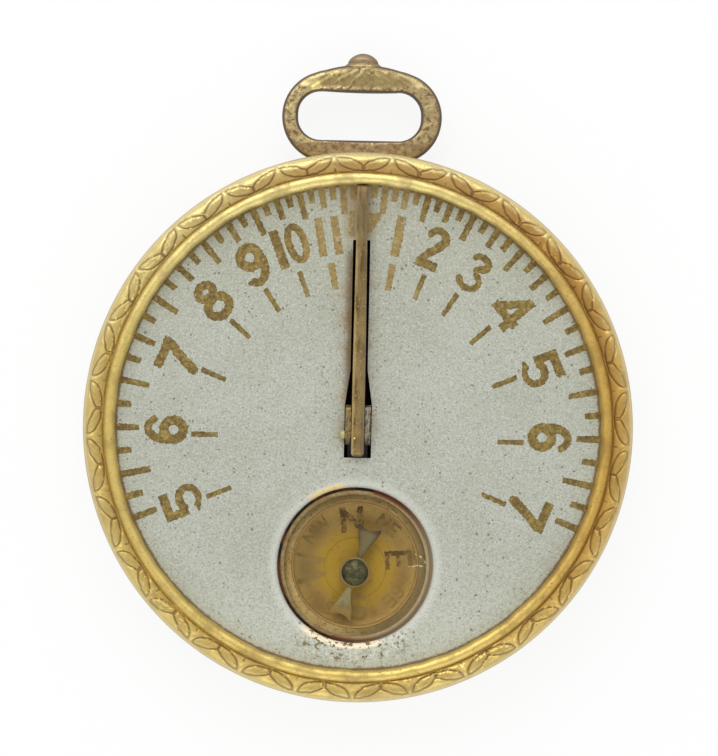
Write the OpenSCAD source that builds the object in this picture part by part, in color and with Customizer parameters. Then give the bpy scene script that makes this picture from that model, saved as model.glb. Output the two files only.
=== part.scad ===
// Pocket sundial compass: a thin pocket-watch case with a painted hour dial, a gnomon
// blade that folds into a slot in the dial, and a small compass let into the dial.
// Millimetres. The origin is the middle of the flat back, +Z is out of the dial and
// +Y points to the bow at 12 o'clock.

/* [Case back] */
// Outside diameter of the case, over the bezel
case_d = 48; // [46:0.5:52]
// Height of the dial's underside above the flat back
case_depth = 5.5; // [5.5:0.1:7]
// Sheet thickness of the back pan
pan_t = 0.5; // [0.4:0.05:0.6]
// Width of the pan's rounded shoulder
shoulder_w = 6; // [4:0.25:7]
// Height of the pan's rounded shoulder
shoulder_h = 3; // [2.6:0.1:3.2]

/* [Bezel] */
// Sheet thickness of the bezel
bezel_t = 0.45; // [0.35:0.05:0.5]
// Radial width of the leaf band
band_w = 1.8; // [1.5:0.1:2.2]
// Radial width of the polished inner bead
bead_w = 1; // [0.8:0.05:1.2]
// Height of the band and the bead above the dial
band_rise = 1.35; // [1.2:0.05:1.6]
// Depth of the groove between the band and the bead
groove_d = 0.45; // [0.3:0.05:0.5]
// How far the skirt reaches down below the dial's underside
skirt_drop = 2.3; // [1.8:0.1:2.3]

/* [Bow] */
// Width of the bow
bow_w = 14.1; // [13.5:0.2:14.5]
// Thickness of the bow
bow_t = 1.8; // [1.5:0.1:1.9]
// Height of the bow's underside above the flat back
bow_lift = 1.3; // [1.2:0.1:1.4]
// Radius of the bow's shoulders
shoulder_r = 4; // [3.7:0.1:4.2]
// Distance from the case's edge to the middle of the bow's shoulders
bow_stand = 3.3; // [2.9:0.1:3.4]
// How far the bow was soldered to the left of 12 o'clock
bow_shift = 0.2; // [0:0.05:0.3]
// Height of the crown above the shoulders
crown_rise = 0.6; // [0.3:0.1:0.9]
// Width of the strap opening
loop_w = 10.9; // [9:0.1:11]
// How far the strap opening lies left of the middle
loop_shift = 0.1; // [0:0.01:0.3]
// Height of the strap opening
loop_h = 4.3; // [4.1:0.05:4.4]
// Thickness of the bar beside the case, seen past the bezel
foot_bar = 1.2; // [0.8:0.05:1.2]
// Width of the knob's flared root
knob_w = 3.4; // [2.6:0.1:3.6]
// Height of the knob above the crown
knob_h = 1; // [0.8:0.1:1.2]
// Rounding of the bow's edges
bow_edge = 0.5; // [0.3:0.05:0.55]

/* [Dial] */
// Thickness of the dial plate
dial_t = 0.5; // [0.4:0.05:0.6]
// Width of the slot along the blade
slot_w = 1.5; // [1.4:0.02:1.6]
// Width of the slot at the hinge
hinge_slot_w = 2.37; // [2.35:0.02:2.6]
// Length over which the slot narrows from the hinge to the blade
slot_taper = 3.05; // [2:0.25:4]

/* [Gnomon] */
// Latitude of the hour lines, which is also the angle that the blade stands at
latitude = 41; // [32:1:45]
// Thickness of the blade
blade_t = 1.1; // [0.9:0.05:1.1]
// Thickness of the blade at its tip
tip_t = 0.9; // [0.7:0.05:0.9]
// Distance of the hinge pin from the case's middle, towards 6 o'clock
pin_off = 0.65; // [0.3:0.05:1]
// Height of the hinge pin's axis above the dial
pin_rise = 0.45; // [0.45:0.01:0.55]
// Diameter of the hinge pin
pin_d = 0.6; // [0.5:0.05:0.65]
// Height of the blade's straight upper edge above the pin's axis
style_rise = 0.65; // [0.55:0.05:0.75]
// Radius of the belly's front edge about the pin
belly_r = 16.7; // [15:0.1:17.5]
// Length of the heel behind the pin
heel_l = 1.9; // [1.7:0.05:2]
// Rounding of the heel's end
heel_round = 0.5; // [0.4:0.05:0.55]
// Rounding of the heel's end as seen from above
heel_plan_r = 0.35; // [0.2:0.05:0.5]

/* [Hinge] */
// Sheet thickness of the bracket under the dial
bracket_t = 0.5; // [0.4:0.05:0.5]
// Width of the bracket
bracket_w = 6.4; // [5.6:0.1:8]
// Length of the bracket, ahead of the hinge pin
bracket_front = 4.05; // [3.6:0.05:5]
// Length of the bracket, behind the hinge pin
bracket_back = 3.8; // [3.6:0.05:3.9]
// Length of each ear, ahead of the hinge pin
ear_front = 2.6; // [2:0.1:3]
// Length of each ear, behind the hinge pin
ear_back = 0.9; // [0.8:0.05:1]
// Thickness of each ear
ear_t = 0.5; // [0.4:0.05:0.5]
// Thickness of the leaf spring
spring_t = 0.25; // [0.2:0.05:0.35]
// Width of the leaf spring
spring_w = 1.8; // [1.4:0.1:2.4]
// Shank diameter of the bracket's rivets
rivet_d = 0.7; // [0.6:0.05:0.8]
// Head diameter of the rivets
rivet_head_d = 1.4; // [1.2:0.1:1.5]

/* [Compass] */
// Distance of the compass's middle from the case's middle, towards 6 o'clock
compass_off = 12.06; // [12.06:0.1:12.6]
// Outside diameter of the compass bowl
bowl_d = 13.1; // [12.7:0.1:13.2]
// Height of the compass bowl
bowl_h = 3.7; // [3.6:0.05:4.4]
// Sheet thickness of the compass bowl
bowl_t = 0.2; // [0.2:0.05:0.3]
// Radial width of the flange that is soldered under the dial
flange_w = 0.85; // [0.7:0.05:0.9]
// Radial width of the rim that is rolled in over the crystal
lip_w = 0.35; // [0.35:0.05:0.5]
// Depth of the bowl's rim below the dial's face
rim_drop = 0.15; // [0.1:0.05:0.2]
// Thickness of the compass card
card_t = 0.25; // [0.2:0.05:0.4]
// Radial width of the brass ring under the crystal
ring_w = 0.95; // [0.8:0.05:1]
// Thickness of the crystal
crystal_t = 0.6; // [0.5:0.05:0.7]

/* [Needle] */
// Length of each arm of the needle, from the pivot
arm_l = 4.15; // [3.8:0.05:4.3]
// Width of the needle's neck
neck_w = 0.55; // [0.5:0.05:0.8]
// Width of the needle's flared ends
paddle_w = 2.05; // [1.6:0.05:2.2]
// Thickness of the needle
needle_t = 0.15; // [0.1:0.05:0.2]
// Diameter of the needle's cap
cap_d = 2.7; // [2.4:0.1:2.8]
// Distance of the pivot from the bowl's middle, towards 6 o'clock
pivot_off = 0.7; // [0:0.05:0.8]
// Heading of the needle at rest, clockwise from 12 o'clock
heading = 18; // [0:1:45]

/* [Hidden] */
$fn = 64;

gilt = "#D3AC55";
aged_brass = "#8F7741";
paint = "#B9BBAC";
steel = "#8C979C";

// Clearances
snap_gap = 0.05;       // between the pan's wall and the bezel's skirt
dial_gap = 0.15;       // round the dial's edge, inside the skirt
solder_gap = 0.02;     // between soldered or riveted pieces
pin_gap = 0.03;        // round the pin in the blade
side_gap = 0.05;       // between the blade and each ear
rest_gap = 0.08;       // under the folded blade's finger
tip_gap = 0.15;        // between the blade's tip and the bead
slot_gap = 0.12;       // behind the heel
belly_gap = 0.3;       // between the belly and the front of the slot
spring_gap = 0.06;     // between the heel's corner and the spring as it passes
bowl_gap = 0.25;       // round the compass bowl, in the dial
float_gap = 0.5;       // over the needle, under the crystal
belly_floor_gap = 0.7; // under the folded blade's belly

case_r = case_d / 2;
wall_r = case_r - bezel_t - snap_gap;
rest_r = wall_r - shoulder_w;
dial_top = case_depth + dial_t;
view_r = case_r - band_w - bead_w;

pin_y = -pin_off;
pin_z = dial_top + pin_rise;
heel_reach = norm([heel_l - heel_round, style_rise - heel_round]) + heel_round;
slot_front = pin_y + belly_r + belly_gap;
slot_back = pin_y - heel_reach - slot_gap;
ear_in = blade_t / 2 + side_gap;
head_r = 0.7 * pin_d;
head_t = 0.55;
sink_h = 0.3;
overcut = 1;
bracket_z = case_depth - bracket_t;
spring_rivet_y = pin_y - 2.9;
rivet_x = bracket_w / 2 - 0.8;
rivet_ys = [pin_y - 2.55, pin_y + 2.85];

bowl_r = bowl_d / 2;
hole_r = bowl_r + bowl_gap;
bowl_in = bowl_r - bowl_t;
rim_z = dial_top - rim_drop;
bowl_z = rim_z - bowl_h;
crystal_top = rim_z - bowl_t;
crystal_z = crystal_top - crystal_t;
card_top = bowl_z + bowl_t + card_t;
ring_in = bowl_in - solder_gap - ring_w;
post_r = 0.3;
post_y = -compass_off - pivot_off;
cap_top = crystal_z - float_gap;
dome_h = 0.6;
cap_flange_t = 0.15;
needle_z = cap_top - dome_h - cap_flange_t - needle_t;
sleeve_r = 0.55;
jewel_r = 0.38;
jewel_h = 0.4;
jewel_top = needle_z + 0.4;
cup_r = 0.3;
cup_h = 0.33;
point_gap = 0.03;

// Points along an arc of an ellipse, from angle a to angle b
function arc(x, y, rx, ry, a, b, n) =
    [for (i = [0:n]) let (t = a + (b - a) * i / n) [x + rx * cos(t), y + ry * sin(t)]];

// Turns a profile of (radius, height) about the case's axis
module turned() {
    rotate_extrude() children();
}

// Stands a profile drawn in (Y, Z) upright and gives it a thickness in X, centred on x
module upright(x, t) {
    translate([x - t / 2, 0, 0]) rotate([90, 0, 90]) linear_extrude(t) children();
}

// Outside of the pan, from the flat back up round the shoulder, grown by g
function pan_outside(g) = arc(rest_r, shoulder_h, shoulder_w + g, shoulder_h + g, -90, 0, 12);

module case_back() {
    color(gilt) turned() polygon(concat(
        [[0, 0]],
        pan_outside(0),
        [[wall_r, case_depth], [wall_r - pan_t, case_depth]],
        arc(rest_r, shoulder_h, shoulder_w - pan_t, shoulder_h - pan_t, 0, -90, 12),
        [[0, pan_t]]));
}

// One stamped sheet: a skirt down the pan's wall, the convex leaf band, a groove and the
// polished bead, whose inner edge is turned down onto the dial
module bezel() {
    groove_r = case_r - band_w;
    crest_r = case_r - 0.47 * band_w;
    outer_w = case_r - crest_r;
    inner_w = crest_r - groove_r;
    bead_r = bead_w / 2;
    bead_z = dial_top + band_rise - bead_r;
    skin = bezel_t;
    color(gilt) turned() polygon(concat(
        [[case_r, case_depth - skirt_drop]],
        arc(crest_r, dial_top + 0.1, outer_w, band_rise - 0.1, 0, 90, 10),
        arc(crest_r, dial_top + band_rise - groove_d, inner_w, groove_d, 100, 180, 8),
        arc(view_r + bead_r, bead_z, bead_r, bead_r, 0, 180, 12),
        [[view_r, dial_top], [view_r + skin, dial_top], [view_r + skin, bead_z - 0.4],
         [groove_r, bead_z - 0.4]],
        arc(crest_r, dial_top + 0.1, outer_w - skin, band_rise - 0.1 - skin, 120, 0, 8),
        [[case_r - skin, case_depth - skirt_drop]]));
}

// Outline of the bow without its knob, drawn in by inset: two shoulders and a crown
module bow_outline(inset) {
    mid_y = case_r + bow_stand;
    side_x = bow_w / 2 - shoulder_r;
    half = side_x + 0.3;
    crown_r = (half * half + crown_rise * crown_rise) / (2 * crown_rise);
    top_y = mid_y + shoulder_r + crown_rise;
    polygon(concat(
        arc(side_x, mid_y, shoulder_r - inset, shoulder_r - inset, -90, 72, 16),
        arc(0, top_y - crown_r, crown_r - inset, crown_r - inset,
            90 - asin(half / crown_r), 90 + asin(half / crown_r), 12),
        arc(-side_x, mid_y, shoulder_r - inset, shoulder_r - inset, 108, 270, 16)));
}

// Outline of the knob on the crown, with a flared root
module knob_outline(inset) {
    top_y = case_r + bow_stand + shoulder_r + crown_rise;
    knob_r = 1.12;
    polygon(concat(
        [[-knob_w / 2 + inset, top_y - 0.6], [knob_w / 2 - inset, top_y - 0.6],
         [knob_w / 2 - inset, top_y - 0.15]],
        arc(0, top_y + knob_h - knob_r, knob_r - inset, knob_r - inset, 35, 145, 8),
        [[-knob_w / 2 + inset, top_y - 0.15]]));
}

// Strap opening, with g of growth
module loop_outline(g) {
    mid_y = case_r + foot_bar + loop_h / 2;
    end_r = 0.47 * loop_h;
    x = loop_w / 2 - end_r;
    y = loop_h / 2 - end_r;
    translate([-loop_shift, 0]) polygon(concat(
        arc(x, mid_y + y, end_r + g, end_r + g, 0, 90, 8),
        arc(-x, mid_y + y, end_r + g, end_r + g, 90, 180, 8),
        arc(-x, mid_y - y, end_r + g, end_r + g, 180, 270, 8),
        arc(x, mid_y - y, end_r + g, end_r + g, 270, 360, 8)));
}

// Thin slices of an outline that a hull joins, drawn in towards each face: the knob's faces lie
// a little below the loop's
module bow_slices(kind) {
    steps = [[0, 1], [0.13, 0.5], [0.5, 0.13], [1, 0]];
    sink = kind == "knob" ? 0.04 : 0;
    slice_t = 0.04;
    for (side = [0, 1])
        for (s = steps)
            translate([0, 0, side * (bow_t - slice_t) + (1 - 2 * side) * (s[0] * bow_edge + sink)])
                linear_extrude(slice_t) {
                    if (kind == "loop") bow_outline(s[1] * bow_edge);
                    if (kind == "knob") knob_outline(s[1] * bow_edge);
                }
}

// Struck brass loop with a knob, soldered to the pan's shoulder under the skirt
module bow() {
    cut = bow_edge * 0.8;
    color(aged_brass) difference() {
        translate([-bow_shift, 0, bow_lift]) difference() {
            union() {
                hull() bow_slices("loop");
                hull() bow_slices("knob");
            }
            translate([0, 0, -1]) linear_extrude(bow_t + 2) loop_outline(0);
            for (side = [0, 1])
                translate([0, 0, side * bow_t]) mirror([0, 0, side]) hull() {
                    translate([0, 0, -0.1]) linear_extrude(0.01) loop_outline(cut + 0.1);
                    translate([0, 0, 0.3 * cut]) linear_extrude(0.01) loop_outline(0.45 * cut);
                    translate([0, 0, cut]) linear_extrude(0.01) loop_outline(0);
                }
        }
        turned() polygon(concat([[0, -solder_gap]], pan_outside(solder_gap),
            [[wall_r + solder_gap, case_depth], [0, case_depth]]));
    }
}

// Slot for the blade: narrow along the blade, and wider round the hinge's ears
module slot_outline() {
    wide_y = pin_y + ear_front;
    polygon([
        [-slot_w / 2, slot_front], [slot_w / 2, slot_front],
        [slot_w / 2, wide_y + slot_taper], [hinge_slot_w / 2, wide_y],
        [hinge_slot_w / 2, slot_back], [-hinge_slot_w / 2, slot_back],
        [-hinge_slot_w / 2, wide_y], [-slot_w / 2, wide_y + slot_taper]]);
}

// Painted disc that lies on the pan's wall, with the compass hole's edge rounded over
module dial_plate() {
    edge_r = 0.9 * dial_t;
    color(paint) difference() {
        translate([0, 0, case_depth]) cylinder(r = case_r - bezel_t - dial_gap, h = dial_t);
        translate([0, 0, case_depth - 1]) linear_extrude(dial_t + 2) slot_outline();
        translate([0, -compass_off, 0]) {
            translate([0, 0, case_depth - 1]) cylinder(r = hole_r, h = dial_t + 2);
            turned() polygon(concat(
                arc(hole_r + edge_r, dial_top - edge_r, edge_r, edge_r, 90, 180, 6),
                [[hole_r - 1, dial_top - edge_r], [hole_r - 1, dial_top + 1],
                 [hole_r + edge_r, dial_top + 1]]));
        }
        bracket_rivet_solids(solder_gap);
    }
}

// Side view of an ear: a foot as long as the ear and a round head about the pin
module ear_outline() {
    head = style_rise - 0.15;
    polygon(concat(
        [[pin_y - ear_back, bracket_z], [pin_y + ear_front, bracket_z],
         [pin_y + ear_front, pin_z - 0.1]],
        arc(pin_y + ear_front - 0.4, pin_z + 0.1, 0.3, head - 0.1, 0, 90, 4),
        arc(pin_y - ear_back + 0.4, pin_z + 0.1, 0.4, head - 0.1, 90, 180, 4)));
}

// Bracket bent up from sheet: a plate under the dial, open below the slot, and two ears that
// carry the pin
module hinge_bracket() {
    open_x = hinge_slot_w / 2 + slot_gap;
    color(aged_brass) difference() {
        union() {
            translate([-bracket_w / 2, pin_y - bracket_back, bracket_z])
                cube([bracket_w, bracket_back + bracket_front, bracket_t]);
            for (side = [-1, 1])
                upright(side * (ear_in + ear_t / 2), ear_t) ear_outline();
        }
        translate([-ear_in, slot_back - slot_gap, bracket_z - overcut])
            cube([2 * ear_in, bracket_front + bracket_back, bracket_t + 2 * overcut]);
        for (y = [[slot_back - slot_gap, pin_y - ear_back],
                  [pin_y + ear_front, pin_y + bracket_front + overcut]])
            translate([-open_x, y[0], bracket_z - overcut])
                cube([2 * open_x, y[1] - y[0], bracket_t + 2 * overcut]);
        translate([-bracket_w, pin_y, pin_z]) rotate([0, 90, 0])
            cylinder(d = pin_d + 2 * solder_gap, h = 2 * bracket_w);
        bracket_rivet_solids(solder_gap);
        spring_rivet_solid(solder_gap);
    }
}

// Flush rivets through dial and bracket. With a gap they are the holes that they sit in,
// which run on up through the dial's face
module bracket_rivet_solids(gap) {
    head = rivet_head_d / 2;
    shank = rivet_d / 2;
    flush_z = dial_top - solder_gap;
    for (x = [-rivet_x, rivet_x])
        for (y = rivet_ys)
            translate([x, y, 0]) turned() polygon(concat(
                [[0, bracket_z - sink_h], [head - 0.25, bracket_z - sink_h],
                 [head, bracket_z - 0.1], [head, bracket_z], [shank + gap, bracket_z],
                 [shank + gap, flush_z - sink_h], [head + gap, flush_z]],
                gap > 0 ? [[head + gap, flush_z + overcut]] : [],
                [[0, flush_z + (gap > 0 ? overcut : 0)]]));
}

module bracket_rivets() {
    color(aged_brass) bracket_rivet_solids(0);
}

// Pin through both ears, with a round head on the left and filed flush on the right
module hinge_pin() {
    end_x = ear_in + ear_t + solder_gap;
    color(aged_brass) translate([0, pin_y, pin_z]) rotate([0, 90, 0]) turned()
        polygon(concat(
            arc(0, -end_x - 0.05, head_r, head_t - 0.05, -90, 0, 8),
            [[head_r, -end_x], [pin_d / 2, -end_x], [pin_d / 2, end_x - 0.05],
             [pin_d / 2 - 0.05, end_x], [0, end_x]]));
}

// Side view of the blade about the pin at (0, 0), folded: a straight upper edge, a finger
// over the dial, a belly in the case, and a heel with one flat for each stand
module blade_outline() {
    tip_u = view_r - tip_gap - pin_y;
    finger_v = rest_gap - pin_rise;
    belly_v = pan_t + belly_floor_gap - pin_z;
    heel_flat = (pin_z - bracket_z - spring_gap) * cos(latitude / 2);
    belly_a = asin(belly_v / belly_r);
    finger_a = asin(finger_v / belly_r);
    polygon(concat(
        [[-heel_l, (sin(latitude) * heel_l - heel_flat) / cos(latitude)],
         [-heel_flat * tan(latitude / 2), -heel_flat],
         [pin_d, -heel_flat]],
        arc(0, 0, belly_r, belly_r, belly_a, finger_a, 8),
        arc(tip_u - 0.25, finger_v + 0.25, 0.25, 0.25, -90, 0, 4),
        arc(tip_u - 0.5, style_rise - 0.5, 0.5, 0.5, 0, 90, 6),
        arc(heel_round - heel_l, style_rise - heel_round, heel_round, heel_round, 90, 180, 8)));
}

module gnomon_blade() {
    color(aged_brass) difference() {
        intersection() {
            translate([0, pin_y, pin_z]) upright(0, blade_t) blade_outline();
            translate([0, 0, -overcut]) linear_extrude(2 * dial_top) blade_plan();
        }
        translate([-blade_t, pin_y, pin_z]) rotate([0, 90, 0])
            cylinder(d = pin_d + 2 * pin_gap, h = 2 * blade_t);
    }
}

// Blade seen from above: thinned towards its tip, and with the corners of its heel rounded
module blade_plan() {
    side = blade_t / 2 - heel_plan_r;
    back = pin_y - heel_reach + heel_plan_r;
    wide = blade_t / 2 + overcut;
    thin_y = pin_y + 0.4 * belly_r;
    polygon(concat(
        [[blade_t / 2, thin_y], [tip_t / 2, view_r], [-tip_t / 2, view_r], [-blade_t / 2, thin_y],
         [-wide, thin_y], [-wide, pin_y], [-blade_t / 2, pin_y]],
        arc(-side, back, heel_plan_r, heel_plan_r, 180, 270, 6),
        arc(side, back, heel_plan_r, heel_plan_r, 270, 360, 6),
        [[blade_t / 2, pin_y], [wide, pin_y], [wide, thin_y]]));
}

// Leaf spring under the bracket, whose free end bears on the heel's flats
module gnomon_spring() {
    back_y = pin_y - bracket_back + 0.05;
    color("#6F7474") difference() {
        translate([0, 0, bracket_z - spring_t]) linear_extrude(spring_t) polygon(concat(
            arc(0, pin_y - 0.05, spring_w / 2, 0.3, 0, 180, 8),
            [[-spring_w / 2, back_y], [spring_w / 2, back_y]]));
        spring_rivet_solid(solder_gap);
    }
}

// Rivet of the spring, grown by g where it cuts its holes
module spring_rivet_solid(g) {
    shank = rivet_d / 2 + 0.05;
    translate([0, spring_rivet_y, 0]) turned() polygon([
        [0, bracket_z - spring_t - 0.3], [shank + 0.05, bracket_z - spring_t - 0.3],
        [rivet_head_d / 2 - 0.05, bracket_z - spring_t - 0.1],
        [rivet_head_d / 2 - 0.05, bracket_z - spring_t], [shank + g, bracket_z - spring_t],
        [shank + g, case_depth - solder_gap + g], [0, case_depth - solder_gap + g]]);
}

module spring_rivet() {
    color(aged_brass) spring_rivet_solid(0);
}

// Drawn brass cup with a flange under the dial and a rim rolled in over the crystal
module compass_bowl() {
    corner = 0.8;
    color(aged_brass) translate([0, -compass_off, 0]) difference() {
        turned() polygon(concat(
            [[0, bowl_z]],
            arc(bowl_r - corner, bowl_z + corner, corner, corner, -90, 0, 6),
            [[bowl_r, case_depth - bowl_t - 0.1], [bowl_r + flange_w, case_depth - bowl_t],
             [bowl_r + flange_w, case_depth - solder_gap], [bowl_r, case_depth - solder_gap]],
            arc(bowl_r - bowl_t, rim_z - bowl_t, bowl_t, bowl_t, 0, 90, 5),
            [[bowl_r - lip_w, rim_z - 0.05], [bowl_r - lip_w, crystal_top + solder_gap],
             [bowl_in, crystal_top + solder_gap]],
            arc(bowl_r - corner, bowl_z + corner, corner - bowl_t, corner - bowl_t, 0, -90, 6),
            [[0, bowl_z + bowl_t]]));
        translate([0, -pivot_off, bowl_z - 1])
            cylinder(r = post_r + solder_gap, h = bowl_t + 2);
    }
}

// Printed card on the bowl's floor
module compass_card() {
    color("#B08A3C") difference() {
        translate([0, -compass_off, bowl_z + bowl_t])
            cylinder(r = bowl_in - 0.65, h = card_t);
        translate([0, post_y, bowl_z]) cylinder(r = post_r + solder_gap, h = 2);
    }
}

// Brass ring that stands on the card's edge and carries the crystal
module glass_ring() {
    out_r = bowl_in - solder_gap;
    color(aged_brass) translate([0, -compass_off, 0]) turned() polygon([
        [ring_in, card_top + 0.1], [ring_in + 0.1, card_top],
        [out_r - 0.5, card_top], [out_r, card_top + 0.5], [out_r, crystal_z],
        [ring_in + 0.15, crystal_z], [ring_in, crystal_z - 0.15]]);
}

// Flat crystal under the rolled rim
module compass_crystal() {
    color("#E8EEE8", 0.35) translate([0, -compass_off, crystal_z])
        cylinder(r = bowl_in - solder_gap, h = crystal_t);
}

// Turned post riveted through card and floor, with the point that the jewel rides on
module pivot_post() {
    tip_z = jewel_top - jewel_h + cup_h - point_gap;
    cone_h = 0.6;
    color("#A08A50") translate([0, post_y, 0]) turned() polygon([
        [0, bowl_z], [post_r, bowl_z], [post_r, card_top], [2 * post_r, card_top],
        [2 * post_r, card_top + 0.2], [post_r, card_top + 0.35], [post_r, tip_z - cone_h],
        [0, tip_z]]);
}

// One arm of the needle: a thin neck that flares to a hollow fishtail
module needle_arm() {
    root_y = sleeve_r + 0.15;
    neck_y = cap_d / 2;
    tip_y = arm_l - 0.1;
    flare = [for (t = [0.2:0.2:1])
        [neck_w / 2 + (paddle_w - neck_w) / 2 * pow(t, 1.6), neck_y + (tip_y - neck_y) * t]];
    polygon(concat(
        [[-neck_w / 2, root_y], [neck_w / 2, root_y], [neck_w / 2, neck_y]],
        flare,
        [[paddle_w / 2 - 0.1, arm_l]],
        arc(0, arm_l, paddle_w / 2 - 0.2, 0.3, 0, -180, 8),
        [[0.1 - paddle_w / 2, arm_l]],
        [for (i = [len(flare) - 1:-1:0]) [-flare[i][0], flare[i][1]]],
        [[-neck_w / 2, neck_y]]));
}

module needle() {
    color(steel) translate([0, post_y, needle_z]) rotate(-heading) difference() {
        union() {
            cylinder(r = cap_d / 2 - 0.2, h = needle_t);
            for (turn = [0, 180])
                rotate(turn) linear_extrude(needle_t) needle_arm();
        }
        translate([0, 0, -1]) cylinder(r = sleeve_r + solder_gap, h = 2);
    }
}

// Domed cap pressed through the needle, bored for the jewel
module needle_cap() {
    flange_z = needle_z + needle_t;
    dome_r = cap_d / 2 - 0.2;
    color("#5F6B72") translate([0, post_y, 0]) turned() polygon(concat(
        [[jewel_r + solder_gap, needle_z - 0.3], [sleeve_r, needle_z - 0.3],
         [sleeve_r, flange_z], [cap_d / 2, flange_z], [cap_d / 2, flange_z + cap_flange_t]],
        arc(0, flange_z + cap_flange_t, dome_r, dome_h, 0, 90, 8),
        [[0, jewel_top + solder_gap], [jewel_r + solder_gap, jewel_top + solder_gap]]));
}

// Cup jewel with a cone that rides on the post's point
module needle_jewel() {
    color("#8C2F3A") translate([0, post_y, jewel_top - jewel_h]) turned() polygon([
        [cup_r, 0], [jewel_r, 0], [jewel_r, jewel_h], [0, jewel_h], [0, cup_h]]);
}

case_back();
bezel();
bow();
dial_plate();
hinge_bracket();
bracket_rivets();
hinge_pin();
gnomon_blade();
gnomon_spring();
spring_rivet();
compass_bowl();
compass_card();
glass_ring();
compass_crystal();
pivot_post();
needle();
needle_cap();
needle_jewel();
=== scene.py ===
"""Looks of the pocket sundial compass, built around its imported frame.

Shapes are in millimetres. Places in the materials are in metres, as Blender gives them.
"""

import math
from types import SimpleNamespace

import bpy
import numpy as np
from mathutils import Matrix, Vector


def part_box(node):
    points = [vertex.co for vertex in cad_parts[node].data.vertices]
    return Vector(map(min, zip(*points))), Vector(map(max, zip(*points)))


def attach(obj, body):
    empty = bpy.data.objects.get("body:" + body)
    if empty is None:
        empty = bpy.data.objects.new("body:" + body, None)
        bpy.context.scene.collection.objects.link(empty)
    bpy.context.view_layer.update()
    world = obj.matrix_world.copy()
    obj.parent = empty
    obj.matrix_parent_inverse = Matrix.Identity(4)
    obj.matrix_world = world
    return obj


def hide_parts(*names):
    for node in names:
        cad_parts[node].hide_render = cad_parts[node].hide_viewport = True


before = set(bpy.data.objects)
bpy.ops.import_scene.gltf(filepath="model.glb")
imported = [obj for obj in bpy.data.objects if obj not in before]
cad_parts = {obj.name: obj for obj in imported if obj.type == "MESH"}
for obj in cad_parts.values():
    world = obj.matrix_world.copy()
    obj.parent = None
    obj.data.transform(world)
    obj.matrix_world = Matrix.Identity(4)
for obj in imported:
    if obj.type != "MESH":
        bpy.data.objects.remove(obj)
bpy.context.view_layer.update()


# Case back
# A pan drawn from brass sheet and gilt. It lies on its flat back, and the top of its wall
# carries the dial. Handling has dulled it to a soft satin with darker patches.

MM = 0.001

# Turned pieces start this far from their axis, in millimetres.
hub_r = 0.001


def colour(red, green, blue):
    """A colour picked as 0 to 255 values, as a shader's linear one."""
    linear = []
    for value in (red, green, blue):
        share = value / 255
        linear.append(share / 12.92 if share <= 0.04045 else ((share + 0.055) / 1.055) ** 2.4)
    return (*linear, 1.0)


def box_of(node):
    """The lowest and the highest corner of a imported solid, in millimetres."""
    return [SimpleNamespace(x=at.x / MM, y=at.y / MM, z=at.z / MM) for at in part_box(node)]


def arc(x, y, rx, ry, start, end, steps):
    """Points along an arc of an ellipse, from one angle in degrees to another."""
    angles = np.radians(np.linspace(start, end, steps + 1))
    return [(x + rx * math.cos(a), y + ry * math.sin(a)) for a in angles]


def mesh_piece(name, points, faces, sharp=35):
    """A new object from points in millimetres, shaded smooth except at sharp edges."""
    mesh = bpy.data.meshes.new(name)
    mesh.from_pydata((np.asarray(points, float) * MM).tolist(), [], faces)
    mesh.polygons.foreach_set("use_smooth", [True] * len(mesh.polygons))
    mesh.update()
    mesh.set_sharp_from_angle(angle=math.radians(sharp))
    piece = bpy.data.objects.new(name, mesh)
    bpy.context.scene.collection.objects.link(piece)
    return piece


def wrapped_faces(columns, rows, order=(0, 1, 2, 3), closed=True):
    """Faces of a grid of points that runs round along its rows and, if closed, its columns."""
    faces = []
    for i in range(columns if closed else columns - 1):
        here, there = i * rows, (i + 1) % columns * rows
        for j in range(rows):
            k = (j + 1) % rows
            corners = (here + j, there + j, there + k, here + k)
            faces.append([corners[n] for n in order])
    return faces


def turned_piece(name, profile, centre=(0, 0), steps=240, sharp=35):
    """A closed profile of (radius, height) turned about an upright axis."""
    profile = np.asarray(profile, float)
    turn = np.linspace(0, 2 * math.pi, steps, endpoint=False)
    x = centre[0] + np.outer(np.cos(turn), profile[:, 0])
    y = centre[1] + np.outer(np.sin(turn), profile[:, 0])
    z = np.broadcast_to(profile[:, 1], x.shape)
    points = np.stack([x, y, z], axis=-1).reshape(-1, 3)
    return mesh_piece(name, points, wrapped_faces(steps, len(profile)), sharp)


def dress(piece, material, body, slot, *nodes):
    """Gives a piece its material and body, and hides the solids that it stands for; the slot is not used.
    """
    piece.data.materials.clear()
    piece.data.materials.append(material)
    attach(piece, body)
    if nodes:
        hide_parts(*nodes)


def add_to(tree, kind, inputs=None, **settings):
    """A new node in a tree, with its settings made and its inputs set or linked."""
    node = tree.nodes.new(kind)
    for key, value in settings.items():
        setattr(node, key, value)
    for key, value in (inputs or {}).items():
        if isinstance(value, bpy.types.NodeSocket):
            tree.links.new(value, node.inputs[key])
        else:
            node.inputs[key].default_value = value
    return node


def fed(kind, inputs, **settings):
    """A new node in the tree of the sockets that feed it."""
    tree = next(value.id_data for value in inputs.values() if isinstance(value, bpy.types.NodeSocket))
    return add_to(tree, kind, inputs, **settings)


def new_material(name):
    """An empty node material, and the place on the object that its patterns follow."""
    material = bpy.data.materials.new(name)
    material.use_nodes = True
    material.node_tree.nodes.clear()
    return material, add_to(material.node_tree, "ShaderNodeTexCoord").outputs["Object"]


def shaded(material, inputs):
    """A material with one shader that has these inputs."""
    shader = add_to(material.node_tree, "ShaderNodeBsdfPrincipled", inputs)
    add_to(material.node_tree, "ShaderNodeOutputMaterial", {"Surface": shader.outputs[0]})
    return material


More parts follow.
